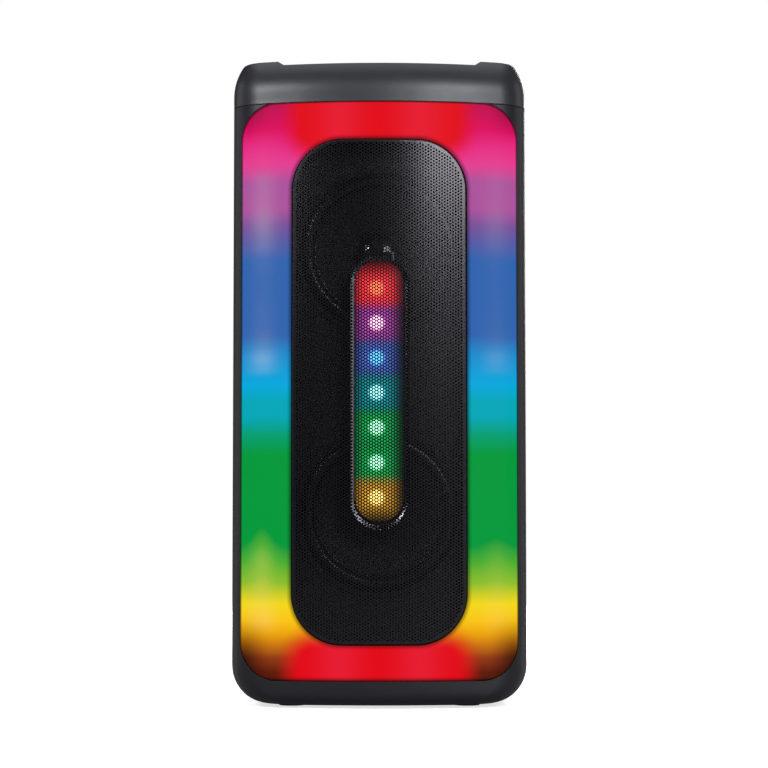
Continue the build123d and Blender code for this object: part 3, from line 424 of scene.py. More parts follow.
def grille_section(number, points, triangles, material):
    """One level of the grille as a closed sheet: face, back, and walls along every free edge."""
    used = sorted({i for t in triangles for i in t})
    local = {i: n for n, i in enumerate(used)}
    count = len(used)
    places = [(*points[i], recess(*points[i])) for i in used]
    front = [(x, sheet_y(x) + back, z + grille_mid.z) for x, z, back in places]
    back = [(x, sheet_y(x, SHEET) + back, z + grille_mid.z) for x, z, back in places]
    faces = [tuple(local[i] for i in t) for t in triangles]
    edges = {(t[k], t[(k + 1) % 3]) for t in faces for k in range(3)}
    walls = [(a, a + count, b + count, b) for a, b in edges if (b, a) not in edges]
    backs = [tuple(i + count for i in reversed(t)) for t in faces]
    section = new_piece(
        f"grille_sheet_{number}", front + back, faces + backs + sorted(walls), material
    )
    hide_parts("grille")
    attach(section, FIXED)


def grille_edge(material):
    """The rolled edge round the sheet, and the skirt that runs back to the baffle."""
    bend_steps = 5
    bend = [(ROLL * (1 - math.sin(a)), ROLL * (1 - math.cos(a)))
            for a in (math.pi / 2 * k / bend_steps for k in range(bend_steps + 1))]
    inner = [(SHEET, ROLL + 0.4 * MM), (ROLL, SHEET)]

    def loop(inset, behind):
        return [(x, sheet_y(x) + behind, z) for x, z in rounded_outline(inset)]

    def end_loop(inset):
        return [(x, grille_high.y, z) for x, z in rounded_outline(inset)]

    loops = [loop(*place) for place in bend] + [end_loop(0), end_loop(SHEET)]
    loops += [loop(*place) for place in inner]
    points = [(x, y, z + grille_mid.z) for profile in zip(*loops) for x, y, z in profile]
    faces = [tuple(reversed(f)) for f in ring_faces(len(loops[0]), len(loops))]
    edge = new_piece("grille_edge", points, faces, material)
    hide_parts("grille")
    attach(edge, FIXED)


def build_grille(face, rim):
    """The whole grille: its levels from the bottom up, and its edge."""
    points, triangles = grille_triangles()
    level = [2 * half_height * k / SECTIONS - half_height for k in range(1, SECTIONS)]
    groups = [[] for _ in range(SECTIONS)]
    for triangle in triangles:
        z = sum(points[i][1] for i in triangle) / 3
        groups[sum(z > limit for limit in level)].append(triangle)
    for number, group in enumerate(groups, 1):
        grille_section(number, points, group, face)
    grille_edge(rim)


# ---- woofers --------------------------------------------------------------------------------------


SURROUND_INSIDE = 60 * MM               # radii of the rubber ring
SURROUND_OUTSIDE = 76.2 * MM
SURROUND_ROLL = 68 * MM                 # radius at which its roll is centred
SPIDER_INSIDE = 13.5 * MM               # radii of the cloth disc
SPIDER_OUTSIDE = 43.4 * MM
SURROUND_BEND = (62 * MM, 74 * MM)      # radii between which each of them bends
SPIDER_BEND = (14 * MM, 40 * MM)


def surround_profile(front):
    """The half-round roll between its two flat lips, as a closed (radius, y) outline."""
    lip, rubber, roll = 0.8 * MM, 0.7 * MM, 6.0 * MM
    outer_steps, inner_steps = 20, 16
    face, core = front - lip, roll - rubber
    outer = [(SURROUND_INSIDE, face + 0.3 * MM), (SURROUND_INSIDE + 1 * MM, face)]
    outer += [(SURROUND_ROLL - roll * math.cos(a), face - roll * math.sin(a))
              for a in (math.pi * k / outer_steps for k in range(outer_steps + 1))]
    outer += [(SURROUND_OUTSIDE - 0.4 * MM, face), (SURROUND_OUTSIDE, face + 0.4 * MM)]
    inner = [(SURROUND_OUTSIDE, front), (SURROUND_ROLL + core, front)]
    inner += [(SURROUND_ROLL + core * math.cos(a), face + rubber - core * math.sin(a))
              for a in (math.pi * k / inner_steps for k in range(inner_steps + 1))]
    inner += [(SURROUND_ROLL - core, front), (SURROUND_INSIDE, front)]
    return outer + inner


def spider_profile(front):
    """The corrugated cloth disc, as a closed (radius, y) outline with rounded waves."""
    waves, wave, height, cloth = 7, 4.0 * MM, 0.9 * MM, 0.5 * MM
    steps = waves * 8
    face = []
    for k in range(steps + 1):
        lift = (1 + math.cos(2 * math.pi * waves * k / steps)) * height / 2
        face.append((SPIDER_INSIDE + waves * wave * k / steps, front + lift))
    face.append((SPIDER_OUTSIDE, front + height))
    return face + [(r, y + cloth) for r, y in reversed(face)]


def build_flexible(place, part, profile, ends, material):
    """A ring turned from its profile in place of the CAD node; the share of the bend between ends is
    worked out for each point but not used.
    """
    turn_steps = 120
    node = f"{place}_woofer_{part}"
    centre = middle(node)
    points, faces = lathe(profile, centre, turn_steps)
    ring = new_piece(f"{node}_rubber" if part == "surround" else f"{node}_cloth",
                     points, faces, material, smooth=True)
    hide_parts(node)
    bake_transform(ring)
    for x, _, z in points:
        share = (math.hypot(x - centre.x, z - centre.z) - ends[0]) / (ends[1] - ends[0])
        share = min(1.0, max(0.0, share))


# ---- markings -------------------------------------------------------------------------------------


def arc(radius, start, end, width, steps=24):
    """A band along part of a circle, as a closed outline; angles in degrees from +u."""
    angles = [math.radians(start + (end - start) * k / steps) for k in range(steps + 1)]
    outer = [((radius + width / 2) * math.cos(a), (radius + width / 2) * math.sin(a)) for a in angles]
    inner = [((radius - width / 2) * math.cos(a), (radius - width / 2) * math.sin(a)) for a in angles]
    return outer + inner[::-1]


def bar(centre, length, width, angle=0.0):
    """A rounded-end stroke through centre, turned by angle in degrees from +u."""
    turn = math.radians(angle)
    outline = []
    for end, half_turn in ((1, -90), (-1, 90)):
        for k in range(7):
            a = math.radians(half_turn + 30 * k)
            u = end * (length - width) / 2 + width / 2 * math.cos(a)
            v = width / 2 * math.sin(a)
            outline.append((centre[0] + u * math.cos(turn) - v * math.sin(turn),
                            centre[1] + u * math.sin(turn) + v * math.cos(turn)))
    return outline


def triangle(centre, size, direction=1):
    """A play-style triangle that points to +u, or to -u with direction -1."""
    u, v = centre
    tips = [(u - direction * size / 2, v - size * 0.58), (u + direction * size / 2, v),
            (u - direction * size / 2, v + size * 0.58)]
    return tips if direction > 0 else tips[::-1]


SYMBOLS = {
    "power_button": [arc(2.9 * MM, 125, 415, 0.7 * MM), bar((0, 2.3 * MM), 3.6 * MM, 0.7 * MM, 90)],
    "mode_button": [bar((0, k * 2.1 * MM), 6.2 * MM, 0.7 * MM) for k in (-1, 0, 1)],
    "light_button": [arc(1.5 * MM, 0, 360, 0.7 * MM)] + [
        bar((3.3 * MM * math.cos(a), 3.3 * MM * math.sin(a)), 1.5 * MM, 0.6 * MM, math.degrees(a))
        for a in (math.pi / 4 * k for k in range(8))
    ],
    "previous_button": [triangle((x * MM, 0), 3.4 * MM, -1) for x in (-0.6, 2.6)] + [
        bar((-3.1 * MM, 0), 4.0 * MM, 0.7 * MM, 90)],
    "play_button": [triangle((-1.6 * MM, 0), 4.2 * MM)] + [
        bar((x * MM, 0), 4.6 * MM, 0.8 * MM, 90) for x in (1.6, 3.3)],
    "next_button": [triangle((x * MM, 0), 3.4 * MM) for x in (-2.6, 0.6)] + [
        bar((3.1 * MM, 0), 4.0 * MM, 0.7 * MM, 90)],
}


def build_marking(name, outlines, place, material, body, sunk=0.05 * MM, proud=0.08 * MM):
    """Printed ink: flat-topped plates that start a little below the surface and stand just above it."""
    points, faces = prism(outlines, place, -sunk, proud)
    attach(new_piece(name, points, faces, material), body)


SCALE_START = 230                       # degrees from the right, anticlockwise
SCALE_SWEEP = 280
KNOB_DISH = 0.7 * MM                    # depth of the dish in a knob's top


def build_markings(ink):
    """Printed symbols on the buttons, level marks round the knobs and pointers on them."""
    for node, outlines in SYMBOLS.items():
        centre = middle(node)
        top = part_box(node)[1].z

        def on_button(u, v, height, centre=centre, top=top):
            return (centre.x + u, centre.y + v, top + height)

        build_marking(node + "_symbol", outlines, on_button, ink, node)
    plate_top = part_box("control_plate")[1].z
    for node, radius, count, slot in (("volume_knob", 30.5 * MM, 21, "knob"),
                                      ("microphone_knob", 14.6 * MM, 11, "small_knob")):
        centre = middle(node)
        low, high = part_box(node)
        ticks = []
        for k in range(count):
            angle = SCALE_START - SCALE_SWEEP * k / (count - 1)
            long = k % 5 == 0
            reach = radius + 0.6 * MM * long
            u, v = reach * math.cos(math.radians(angle)), reach * math.sin(math.radians(angle))
            ticks.append(bar((u, v), (2.0 + 1.4 * long) * MM, 0.6 * MM, angle))

        def on_plate(u, v, height, centre=centre):
            return (centre.x + u, centre.y + v, plate_top + height)

        build_marking(node + "_scale", ticks, on_plate, ink, FIXED)
        knob_radius = (high.x - low.x) / 2
        pointer = [bar((0, knob_radius * 0.56), knob_radius * 0.42, 1.2 * MM, 90)]
        dish = high.z - KNOB_DISH

        def on_knob(u, v, height, centre=centre, dish=dish):
            return (centre.x + u, centre.y + v, dish + height)

        build_marking(node + "_pointer", pointer, on_knob, ink, node, 0.1 * MM, 0.12 * MM)


def build_back_marks(ink):
    """Printed rings and symbols beside the sockets and the switch, as seen from the back."""
    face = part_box("connector_plate")[1].y
    jack_level, power_level = 206 * MM, 128 * MM
    line = 0.6 * MM                         # width of a thin stroke

    def on_back(u, v, height):
        return (-u, face + height, v)

    def moved(outline, u, v):
        """The outline, carried to (u, v)."""
        return [(a + u, b + v) for a, b in outline]

    def microphone(u, v):
        """A capsule in its cradle, on a short stem."""
        return [bar((u, v), 4.6 * MM, 2.2 * MM, 90),
                moved(arc(2.3 * MM, 190, 350, line), u, v - 0.4 * MM),
                bar((u, v - 4.2 * MM), 2.6 * MM, line, 90)]

    def waves(u, v):
        """Three sound waves."""
        return [moved(arc(reach * MM, -50, 50, line), u, v) for reach in (1.2, 2.6, 4.0)]

    def two_bars(u, v):
        """Two level strokes."""
        return [bar((u, v + lift * MM), 6.0 * MM, line) for lift in (0, 3)]

    def on_and_off(u, v):
        """A stroke above the switch and a ring below it."""
        return [bar((u, v + 18 * MM), 4.6 * MM, 0.8 * MM, 90),
                moved(arc(2.2 * MM, 0, 359, 0.8 * MM), u, v - 18 * MM)]

    def mains_wave(u, v):
        """One period of a wave, from two arcs."""
        return [moved(arc(1.8 * MM, 20, 160, line), u - 1.7 * MM, v - 0.6 * MM),
                moved(arc(1.8 * MM, 200, 340, line), u + 1.7 * MM, v + 0.6 * MM)]

    outlines = []
    for u in (38 * MM, 12 * MM):
        outlines.append(moved(arc(8.6 * MM, 0, 359, line, 48), u, jack_level))
        outlines += microphone(u, jack_level + 17 * MM)
    outlines.append(moved(arc(6.4 * MM, 0, 359, line, 48), -12 * MM, jack_level))
    outlines += waves(-13.5 * MM, jack_level + 16 * MM)
    outlines += two_bars(-38 * MM, jack_level + 15 * MM)
    outlines += on_and_off(28 * MM, power_level)
    outlines += mains_wave(-20 * MM, power_level + 17 * MM)
    build_marking("socket_marks", outlines, on_back, ink, FIXED)


# ---- lit surfaces ---------------------------------------------------------------------------------

GREEN = srgb(1, 153, 60)
TEAL = srgb(0, 167, 184)
CYAN = srgb(2, 168, 222)
BLUE = srgb(48, 100, 174)
VIOLET = srgb(120, 80, 154)
ORCHID = srgb(172, 82, 156)
PINK = srgb(229, 62, 145)
MAGENTA = srgb(222, 6, 96)
RED = srgb(226, 5, 20)
ROSE = srgb(231, 26, 48)


def rounded_distance(surface, across, level, half, low, high, corner):
    """Distance outside a rounded outline from low to high, worked out by nodes from |x| and z."""
    up = surface.math("ABSOLUTE", surface.math("SUBTRACT", level, (low + high) / 2))
    sides = [surface.math("MAXIMUM", surface.math("SUBTRACT", value, reach - corner), 0.0)
             for value, reach in ((across, half), (up, (high - low) / 2))]
    squares = [surface.math("MULTIPLY", side, side) for side in sides]
    return surface.math("SUBTRACT", surface.math("SQRT", surface.math("ADD", *squares)), corner)


def hump(surface, value, centre, width):
    """A bell over the value: 1 at the centre, falling off over the width."""
    away = surface.math("DIVIDE", surface.math("SUBTRACT", value, centre), width)
    return surface.math("EXPONENT", surface.math("MULTIPLY", surface.math("MULTIPLY", away, away), -1.0))


def product(surface, first, *others):
    """The values multiplied together."""
    for other in others:
        first = surface.math("MULTIPLY", first, other)
    return first


PANEL_SCALE = 600                       # millimetres over which the panel's colour ramps run
SIDE_COLORS = [
    (34, srgb(92, 24, 4)), (48, srgb(145, 58, 17)), (60, srgb(203, 119, 13)), (70, srgb(236, 164, 4)),
    (82, srgb(250, 196, 16)), (98, srgb(244, 216, 24)), (117, srgb(142, 191, 42)),
    (136, srgb(76, 174, 48)), (152, GREEN), (240, GREEN), (258, srgb(1, 159, 112)), (276, TEAL),
    (290, TEAL), (306, CYAN), (334, srgb(24, 140, 204)), (352, BLUE), (424, BLUE),
    (442, srgb(86, 90, 164)), (458, VIOLET), (474, ORCHID), (500, ORCHID), (516, PINK),
    (532, srgb(231, 44, 134)), (550, MAGENTA), (572, srgb(190, 12, 80)),
]
SIDE_HAZE = [
    (66, 0.0), (84, 0.05), (100, 0.03), (140, 0.03), (160, 0.0), (312, 0.0), (322, 0.09), (330, 0.14),
    (345, 0.06), (364, 0.03), (405, 0.02), (424, 0.03), (442, 0.09), (460, 0.12), (480, 0.07),
    (500, 0.06), (516, 0.01), (560, 0.0),
]


def panel_side_color(surface, axes, across):
    """The rainbow up each side: colours by level, paler over the row of lights behind."""
    strip = hump(surface, across, 111 * MM, 12 * MM)
    strip = product(surface, strip, surface.fade(axes["X"], -80 * MM, 80 * MM, 1.0, 0.45))
    level = surface.node(
        "MapRange", {"Value": axes["Z"], "From Min": 0.0, "From Max": PANEL_SCALE * MM}
    ).outputs[0]
    flame = product(surface, surface.fade(axes["Z"], 100 * MM, 150 * MM),
                    surface.fade(axes["Z"], 200 * MM, 168 * MM))
    rise = product(surface, flame, strip, 18 / PANEL_SCALE)
    stops = [(z / PANEL_SCALE, color) for z, color in SIDE_COLORS]
    side = surface.ramp(surface.math("SUBTRACT", level, rise), stops)
    haze = surface.ramp(level, [(z / PANEL_SCALE, (h, h, h, 1)) for z, h in SIDE_HAZE], "EASE")
    return surface.blend(product(surface, haze, strip), side, WHITE)


def panel_red_share(surface, axes, across):
    """How much of the red of the top and the bottom shows, fading round the inner corners."""
    past_side = surface.math("MAXIMUM", surface.math("SUBTRACT", across, 62 * MM), 0.0)
    below_top = surface.math("MAXIMUM", surface.math("SUBTRACT", 548 * MM, axes["Z"]), 0.0)
    above_end = surface.math("MAXIMUM", surface.math("SUBTRACT", axes["Z"], 46 * MM), 0.0)
    past_end = surface.math("MINIMUM", below_top, above_end)
    squares = [surface.math("MULTIPLY", value, value) for value in (past_side, past_end)]
    away = surface.math("SQRT", surface.math("ADD", *squares))
    return surface.fade(away, 10 * MM, 38 * MM, 1.0, 0.0)


def panel_shade(surface, axes, across):
    """The panel's brightness: dimmer in its outer corners, with a painted shadow beside the grille and
    along its edge.
    """
    outward = surface.fade(across, 100 * MM, 131 * MM)
    foot = product(surface, outward, surface.fade(axes["Z"], 92 * MM, 42 * MM, 0.0, 0.84))
    head = product(surface, outward, surface.fade(axes["Z"], 538 * MM, 574 * MM, 0.0, 0.5))
    shade = surface.math("SUBTRACT", surface.math("SUBTRACT", 1.0, foot), head)
    low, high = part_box("light_panel")
    level = axes["Z"]
    past_grille = rounded_distance(surface, across, level, half_width, grille_low.z, grille_high.z, CORNER)
    past_edge = rounded_distance(surface, across, level, PANEL_HALF, low.z, high.z, PANEL_CORNER)
    # painted shadow: the glow dims within 5 mm of the grille, at the panel's outline and along its foot
    return product(
        surface, shade, surface.fade(past_grille, 0.0, 5 * MM, 0.35, 1.0),
        surface.fade(past_edge, -1.6 * MM, -0.4 * MM, 1.0, 0.3),
        surface.fade(level, low.z, low.z + 5 * MM, 0.35, 1.0),
    )


def light_panel_surface():
    """The frosted panel, lit from behind: a rainbow up each side, red across the top and bottom."""
    surface = Surface("diffuser", srgb(5, 5, 6), 0.5, Specular_IOR_Level=0.02)
    axes = surface.node("SeparateXYZ", {"Vector": surface.place}).outputs
    across = surface.math("ABSOLUTE", axes["X"])
    side = panel_side_color(surface, axes, across)
    red = surface.blend(hump(surface, across, 38 * MM, 20 * MM), RED, ROSE)
    color = surface.blend(panel_red_share(surface, axes, across), side, red)
    surface.feed(surface.shader.inputs["Emission Color"], color)
    surface.feed(surface.shader.inputs["Emission Strength"], panel_shade(surface, axes, across))
    surface.relief(surface.noise(0.4 * MM, 2.0), 0.01 * MM)
    return surface.material


BAR_LIGHTS = 7
BAR_SHIFT = 2.5 * MM                    # how far left of the lens's middle the spots show
BAR_STRENGTH = 3.3
BAR_GLOWS = [
    (0.17, 0.085, 0.006, 1), (0.002, 0.12, 0.026, 1), (0.002, 0.12, 0.026, 1), (0.002, 0.088, 0.098, 1),
    (0.02, 0.042, 0.165, 1), (0.125, 0.019, 0.12, 1), (0.39, 0.014, 0.02, 1),
]
BAR_CORES = [
    (0.88, 0.55, 0.14, 1), (0.25, 0.77, 0.41, 1), (0.25, 0.77, 0.41, 1), (0.20, 0.64, 0.66, 1),
    (0.07, 0.34, 0.72, 1), (0.82, 0.40, 0.70, 1), (1.0, 0.13, 0.06, 1),
]


def bar_lens_surface():
    """The light bar's smoked lens: a spot over each light, in a halo and a wide glow of its colour."""
    surface = Surface("bar_lens", srgb(8, 8, 9), 0.25, Specular_IOR_Level=0.3)
    low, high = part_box("bar_leds")
    lamp = (high.x - low.x) / 2
    first, last = low.z + lamp, high.z - lamp
    pitch = (last - first) / (BAR_LIGHTS - 1)
    start, end = first - pitch / 2, last + pitch / 2
    axes = surface.node("SeparateXYZ", {"Vector": surface.place}).outputs
    level = surface.node(
        "MapRange", {"Value": axes["Z"], "From Min": start, "From Max": end}
    ).outputs[0]
    held = [(k, (k + 0.5 + reach) / BAR_LIGHTS) for k in range(BAR_LIGHTS) for reach in (-0.3, 0.3)]
    glow = surface.ramp(level, [(place, BAR_GLOWS[k]) for k, place in held], "EASE")
    core = surface.ramp(level, [(place, BAR_CORES[k]) for k, place in held], "EASE")
    height = surface.math("SUBTRACT", axes["Z"], start)
    height = surface.math("SUBTRACT", surface.math("MODULO", height, pitch), pitch / 2)
    across = surface.math("ADD", axes["X"], BAR_SHIFT)
    away = surface.math("ADD", surface.math("MULTIPLY", across, across),
                        surface.math("MULTIPLY", height, height))
    halo = surface.math("EXPONENT", surface.math("DIVIDE", away, -(12.0 * MM) ** 2))
    halo = surface.node("VectorMath", {0: glow, "Scale": halo}, operation="SCALE").outputs[0]
    glow = surface.blend(1.0, glow, halo, "ADD")
    spot = surface.fade(surface.math("SQRT", away), 4.5 * MM, 9.0 * MM, 1.0, 0.0)
    surface.feed(surface.shader.inputs["Emission Color"], surface.blend(spot, glow, core))
    strength = product(
        surface, surface.fade(axes["Z"], first - 26 * MM, first - 4 * MM),
        surface.fade(axes["Z"], last + 4 * MM, last + 28 * MM, 1.0, 0.0),
        surface.fade(surface.math("ABSOLUTE", across), 11 * MM, 26 * MM, 1.0, 0.05), BAR_STRENGTH,
    )
    surface.feed(surface.shader.inputs["Emission Strength"], strength)
    return surface.material


# ---- plain finishes -------------------------------------------------------------------------------


def grille_surface(name, roughness, specular):
    """Black powder coat over steel: one colour all over, with a fine orange peel in its gloss."""
    surface = Surface(
        name, srgb(5, 5, 7), roughness, Specular_IOR_Level=specular, Specular_Tint=(1.0, 0.94, 1.0, 1.0)
    )
    peel = surface.noise(0.6 * MM, 2.0)
    gloss = surface.fade(peel, 0.3, 0.7, roughness - 0.04, roughness + 0.04)
    surface.feed(surface.shader.inputs["Roughness"], gloss)
    surface.relief(peel, 0.004 * MM)
    return surface.material


def cone_surface():
    """Pressed paper: dark and pale fibres."""
    surface = Surface("cone_paper", srgb(30, 30, 32), 0.6)
    fibres = surface.noise(0.5 * MM, 5.0, (1, 1, 4))
    mottle = surface.blend(fibres, srgb(22, 22, 24), srgb(44, 43, 44))
    surface.feed(surface.shader.inputs["Base Color"], mottle)
    surface.relief(fibres, 0.05 * MM)
    return surface.material


def cloth_surface():
    """The spider's woven cloth, stiffened with resin."""
    thread = 0.7 * MM
    surface = Surface("spider_cloth", srgb(170, 120, 60), 0.8)
    axes = surface.node("SeparateXYZ", {"Vector": surface.place}).outputs
    threads = [surface.math("SINE", surface.math("MULTIPLY", axes[k], 2 * math.pi / thread))
               for k in ("X", "Z")]
    weave = surface.math("MULTIPLY", threads[0], threads[1])
    shade = surface.fade(weave, -1.0, 1.0)
    surface.feed(
        surface.shader.inputs["Base Color"], surface.blend(shade, srgb(120, 80, 36), srgb(196, 148, 84))
    )
    surface.relief(shade, 0.08 * MM)
    return surface.material


def coil_surface():
    """Copper wire wound round the former."""
    wire = 0.3 * MM
    surface = Surface("coil_former", srgb(180, 98, 52), 0.3, Metallic=0.9)
    axes = surface.node("SeparateXYZ", {"Vector": surface.place}).outputs
    turns = surface.math("SINE", surface.math("MULTIPLY", axes["Y"], 2 * math.pi / wire))
    shade = surface.fade(turns, -1.0, 1.0)
    surface.feed(
        surface.shader.inputs["Base Color"], surface.blend(shade, srgb(110, 52, 24), srgb(214, 128, 74))
    )
    surface.relief(shade, 0.08 * MM)
    return surface.material


def led_surface(name, frame_color):
    """Light packages: a pale frame with yellow phosphor."""
    surface = Surface(name, frame_color, 0.4)
    phosphor = surface.fade(surface.noise(2.0 * MM, 1.0), 0.4, 0.6)
    surface.feed(
        surface.shader.inputs["Base Color"], surface.blend(phosphor, frame_color, srgb(238, 214, 96))
    )
    return surface.material


GREY = {
    "housing": (30, 29, 33), "frame": (24, 23, 27), "cap": (29, 29, 34), "cup": (24, 24, 27),
    "grip": (24, 24, 27), "port": (18, 18, 20), "knob": (34, 34, 37), "button": (44, 44, 48),
}


def finishes():
    """Every CAD node's finish, by node name."""
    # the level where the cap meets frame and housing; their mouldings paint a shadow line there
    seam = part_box("top_cap")[0].z
    housing = moulded("housing", srgb(*GREY["housing"]), 0.52, depth=0.05 * MM, seam=seam)
    woofer_finishes = {
        "basket": moulded("basket_steel", srgb(26, 26, 28), 0.42, 0.9 * MM, 0.01 * MM),
        "motor_plates": metal("motor_steel", srgb(150, 150, 152), 0.35),
        "magnet": moulded("ferrite", srgb(52, 52, 55), 0.62, 0.8 * MM, 0.03 * MM),
        "gasket": moulded("gasket", srgb(34, 34, 36), 0.3, 1.2 * MM, 0.01 * MM),
        "surround": moulded("surround_rubber_hidden", srgb(24, 24, 26), 0.4),
        "spider": cloth_surface(),
        "cone": cone_surface(),
        "dust_cap": polished("dust_cap", srgb(22, 22, 24), 0.08, Coat_Weight=1.0),
        "voice_coil": coil_surface(),
    }
    table = {
        "rear_housing": housing,
        "front_frame": moulded("frame", srgb(*GREY["frame"]), 0.44, 0.45 * MM, 0.02 * MM, seam=seam,
                               Specular_IOR_Level=0.3),
        "top_cap": moulded("cap", srgb(*GREY["cap"]), 0.42, 0.45 * MM, 0.02 * MM, 1.0 * MM, seam),
        "handle_cup": moulded("cup", srgb(*GREY["cup"]), 0.55, 0.6 * MM, 0.05 * MM),
        "carry_handle": moulded("grip", srgb(*GREY["grip"]), 0.6, 0.35 * MM, 0.03 * MM, 1.2 * MM),
        "feet": moulded("foot_rubber", srgb(26, 26, 26), 0.75, 0.7 * MM, 0.05 * MM),
        "light_panel": light_panel_surface(),
        "reflector_tray": moulded("white_plastic", srgb(228, 228, 226), 0.5, 0.6 * MM, 0.01 * MM),
        "led_ring_board": board("ring_board", srgb(222, 226, 222), srgb(176, 184, 178), ("X", "Z")),
        "ring_leds": led_surface("led", srgb(244, 240, 224)),
        "baffle": moulded("baffle_board", srgb(30, 30, 31), 0.6, 1.0 * MM, 0.08 * MM),
        "light_bar_housing": polished("bar_bezel", srgb(12, 12, 13), 0.12, Coat_Weight=0.5),
        "light_bar_lens": bar_lens_surface(),
        "light_bar_board": board("bar_board", srgb(24, 26, 28), srgb(46, 48, 50), ("X", "Z")),
        "bar_leds": led_surface("bar_led", srgb(240, 238, 228)),
        "control_plate": moulded("control_plate", srgb(20, 20, 22), 0.75, 0.5 * MM, 0.03 * MM,
                                 Specular_IOR_Level=0.25),
        "display_window": polished("display", srgb(6, 6, 9), 0.2, Specular_IOR_Level=0.35),
        "control_board": board("control_pcb", srgb(10, 74, 34), srgb(30, 112, 58), ("X", "Y")),
        "tact_switches": metal("switch_metal", srgb(176, 176, 174), 0.3),
        "knob_encoders": metal("encoder_metal", srgb(164, 164, 160), 0.32),
        "volume_knob": moulded("knob", srgb(*GREY["knob"]), 0.38, 0.4 * MM, 0.015 * MM),
        "microphone_knob": moulded("small_knob", srgb(*GREY["knob"]), 0.38, 0.4 * MM, 0.015 * MM),
        "bass_port": moulded("port_plastic", srgb(*GREY["port"]), 0.36, 0.6 * MM, 0.01 * MM),
        "connector_plate": moulded("connector_plastic", srgb(28, 28, 31), 0.48, 0.5 * MM, 0.04 * MM),
        "audio_jacks": polished("jack_plastic", srgb(14, 14, 15), 0.3),
        "usb_socket": metal("usb_metal", srgb(190, 190, 188), 0.28, (1, 6, 1)),
        "mains_inlet": moulded("inlet_plastic", srgb(20, 20, 21), 0.4, 0.5 * MM, 0.02 * MM),
        "inlet_pins": metal("pin_brass", srgb(206, 190, 150), 0.25, (1, 6, 1)),
        "power_rocker": polished("rocker_plastic", srgb(20, 20, 21), 0.28),
        "amp_board": board("amp_pcb", srgb(10, 70, 34), srgb(28, 108, 56), ("X", "Z")),
        "heat_sink": metal("heat_sink", srgb(158, 160, 164), 0.4, (1, 1, 8)),
        "power_board": board("power_pcb", srgb(120, 84, 34), srgb(150, 112, 60), ("X", "Z")),
        "battery_pack": polished("battery", srgb(24, 74, 132), 0.3),
        "battery_bracket": metal("battery_bracket", srgb(170, 172, 174), 0.38, (8, 1, 1)),
        "screws": metal("screw_steel", srgb(120, 120, 122), 0.3),
    }
    for place in ("upper", "lower"):
        for part, material in woofer_finishes.items():
            table[f"{place}_woofer_{part}"] = material
    for name in SYMBOLS:
        table[name] = moulded(name, srgb(*GREY["button"]), 0.4, 0.4 * MM, 0.015 * MM)
    return table


# ---- studio ---------------------------------------------------------------------------------------


def soft_light(name, place, target, size, watts, color=(1, 1, 1)):
    """A rectangular soft box that faces its target."""
    lamp = bpy.data.lights.new(name, "AREA")
    lamp.shape = "RECTANGLE"
    lamp.size, lamp.size_y = size
    lamp.energy = watts
    lamp.color = color
    made = bpy.data.objects.new(name, lamp)
    made.location = place
    made.rotation_euler = (Vector(target) - Vector(place)).to_track_quat("-Z", "Y").to_euler()
    bpy.context.scene.collection.objects.link(made)


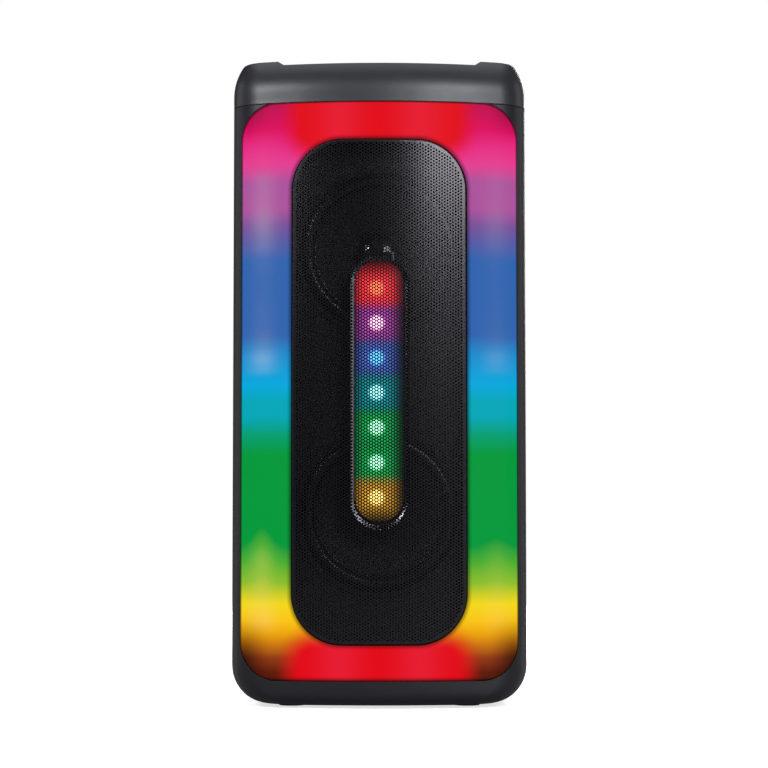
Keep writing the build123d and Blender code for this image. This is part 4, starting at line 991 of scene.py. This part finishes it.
def build_studio():
    """A pale floor, a surround that is white to the camera and dim to all else, and soft lights."""
    scene = bpy.context.scene
    scene.view_settings.view_transform = "Standard"
    world = bpy.data.worlds.new("studio")
    world.use_nodes = True
    scene.world = world
    tree = world.node_tree
    backdrop = tree.nodes["Background"]
    rays = tree.nodes.new("ShaderNodeLightPath")
    level = tree.nodes.new("ShaderNodeMix")
    level.data_type = "RGBA"
    level.inputs[6].default_value = (0.03, 0.03, 0.032, 1)
    level.inputs[7].default_value = WHITE
    tree.links.new(rays.outputs["Is Camera Ray"], level.inputs[0])
    tree.links.new(level.outputs[2], backdrop.inputs["Color"])

    paper = Surface("studio_paper", (0.8, 0.8, 0.8, 1), 0.9, Specular_IOR_Level=0.2)
    paper.relief(paper.noise(0.02, 3.0), 0.1 * MM)
    seen = paper.node("LightPath").outputs["Is Camera Ray"]
    distance = paper.node("VectorMath", {0: paper.place}, operation="LENGTH").outputs["Value"]
    tone = paper.blend(seen, (0.34, 0.34, 0.35, 1), (0.8, 0.8, 0.8, 1))
    paper.feed(paper.shader.inputs["Base Color"], tone)
    paper.shader.inputs["Emission Color"].default_value = WHITE
    glow = paper.fade(distance, 0.2, 1.2, 0.7, 1.0)
    paper.feed(paper.shader.inputs["Emission Strength"], paper.math("MULTIPLY", seen, glow))
    reach = 30.0                            # metres from the middle to the floor's edge
    floor_mesh = bpy.data.meshes.new("floor")
    corners = [(-reach, -reach, 0), (reach, -reach, 0), (reach, reach, 0), (-reach, reach, 0)]
    floor_mesh.from_pydata(corners, [], [(0, 1, 2, 3)])
    floor_mesh.materials.append(paper.material)
    floor = bpy.data.objects.new("floor", floor_mesh)
    scene.collection.objects.link(floor)

    cool = (0.93, 0.96, 1.0)
    soft_light("top_light", (0, 0.3, 2.6), (0, 0, 0), (2.4, 2.0), 22)
    soft_light("right_box", (0.87, -1.95, 1.2), (0, 0, 0.4), (0.85, 0.75), 36, cool)
    soft_light("left_box", (-1.3, -1.6, 1.25), (0, 0, 0.6), (0.45, 0.4), 31, cool)
    soft_light("right_strip", (1.45, -1.6, 0.35), (0, 0, 0.3), (0.25, 1.0), 8, cool)
    soft_light("left_side", (-2.0, 0.6, 0.8), (0, 0, 0.3), (0.8, 1.6), 5)
    soft_light("right_side", (2.0, 0.6, 0.8), (0, 0, 0.3), (0.8, 1.6), 5)
    soft_light("back_light", (0.4, 2.4, 1.2), (0, 0, 0.3), (1.6, 1.2), 70)


def build_camera():
    """The photograph's viewpoint: low, in front, tipped slightly upwards, with a long lens."""
    lens = bpy.data.cameras.new("camera")
    lens.lens = 109.4
    lens.sensor_width = 36.0
    lens.clip_start = 0.05
    camera = bpy.data.objects.new("camera", lens)
    camera.location = (4.5 * MM, -2336 * MM, 171.1 * MM)
    camera.rotation_euler = (math.radians(90 + 3.5), 0, 0)
    bpy.context.scene.collection.objects.link(camera)
    bpy.context.scene.camera = camera


# ---- the speaker ----------------------------------------------------------------------------------

build_camera()
build_studio()

for node, material in finishes().items():
    for slot in NODES[node].material_slots:
        slot.link = "OBJECT"
        slot.material = material

build_grille(grille_surface("grille_steel", 0.23, 0.5), grille_surface("grille_rim", 0.5, 0.25))

rubber = moulded("surround_rubber", srgb(26, 26, 28), 0.28, 0.6 * MM, 0.01 * MM, None)
spider_cloth = cloth_surface()
for place in ("upper", "lower"):
    flange_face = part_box(f"{place}_woofer_surround")[1].y
    build_flexible(place, "surround", surround_profile(flange_face), SURROUND_BEND,
                   rubber)
    spider_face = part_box(f"{place}_woofer_spider")[0].y
    build_flexible(place, "spider", spider_profile(spider_face), SPIDER_BEND,
                   spider_cloth)

ink = polished("white_print", srgb(206, 206, 208), 0.4)
build_markings(ink)
build_back_marks(ink)
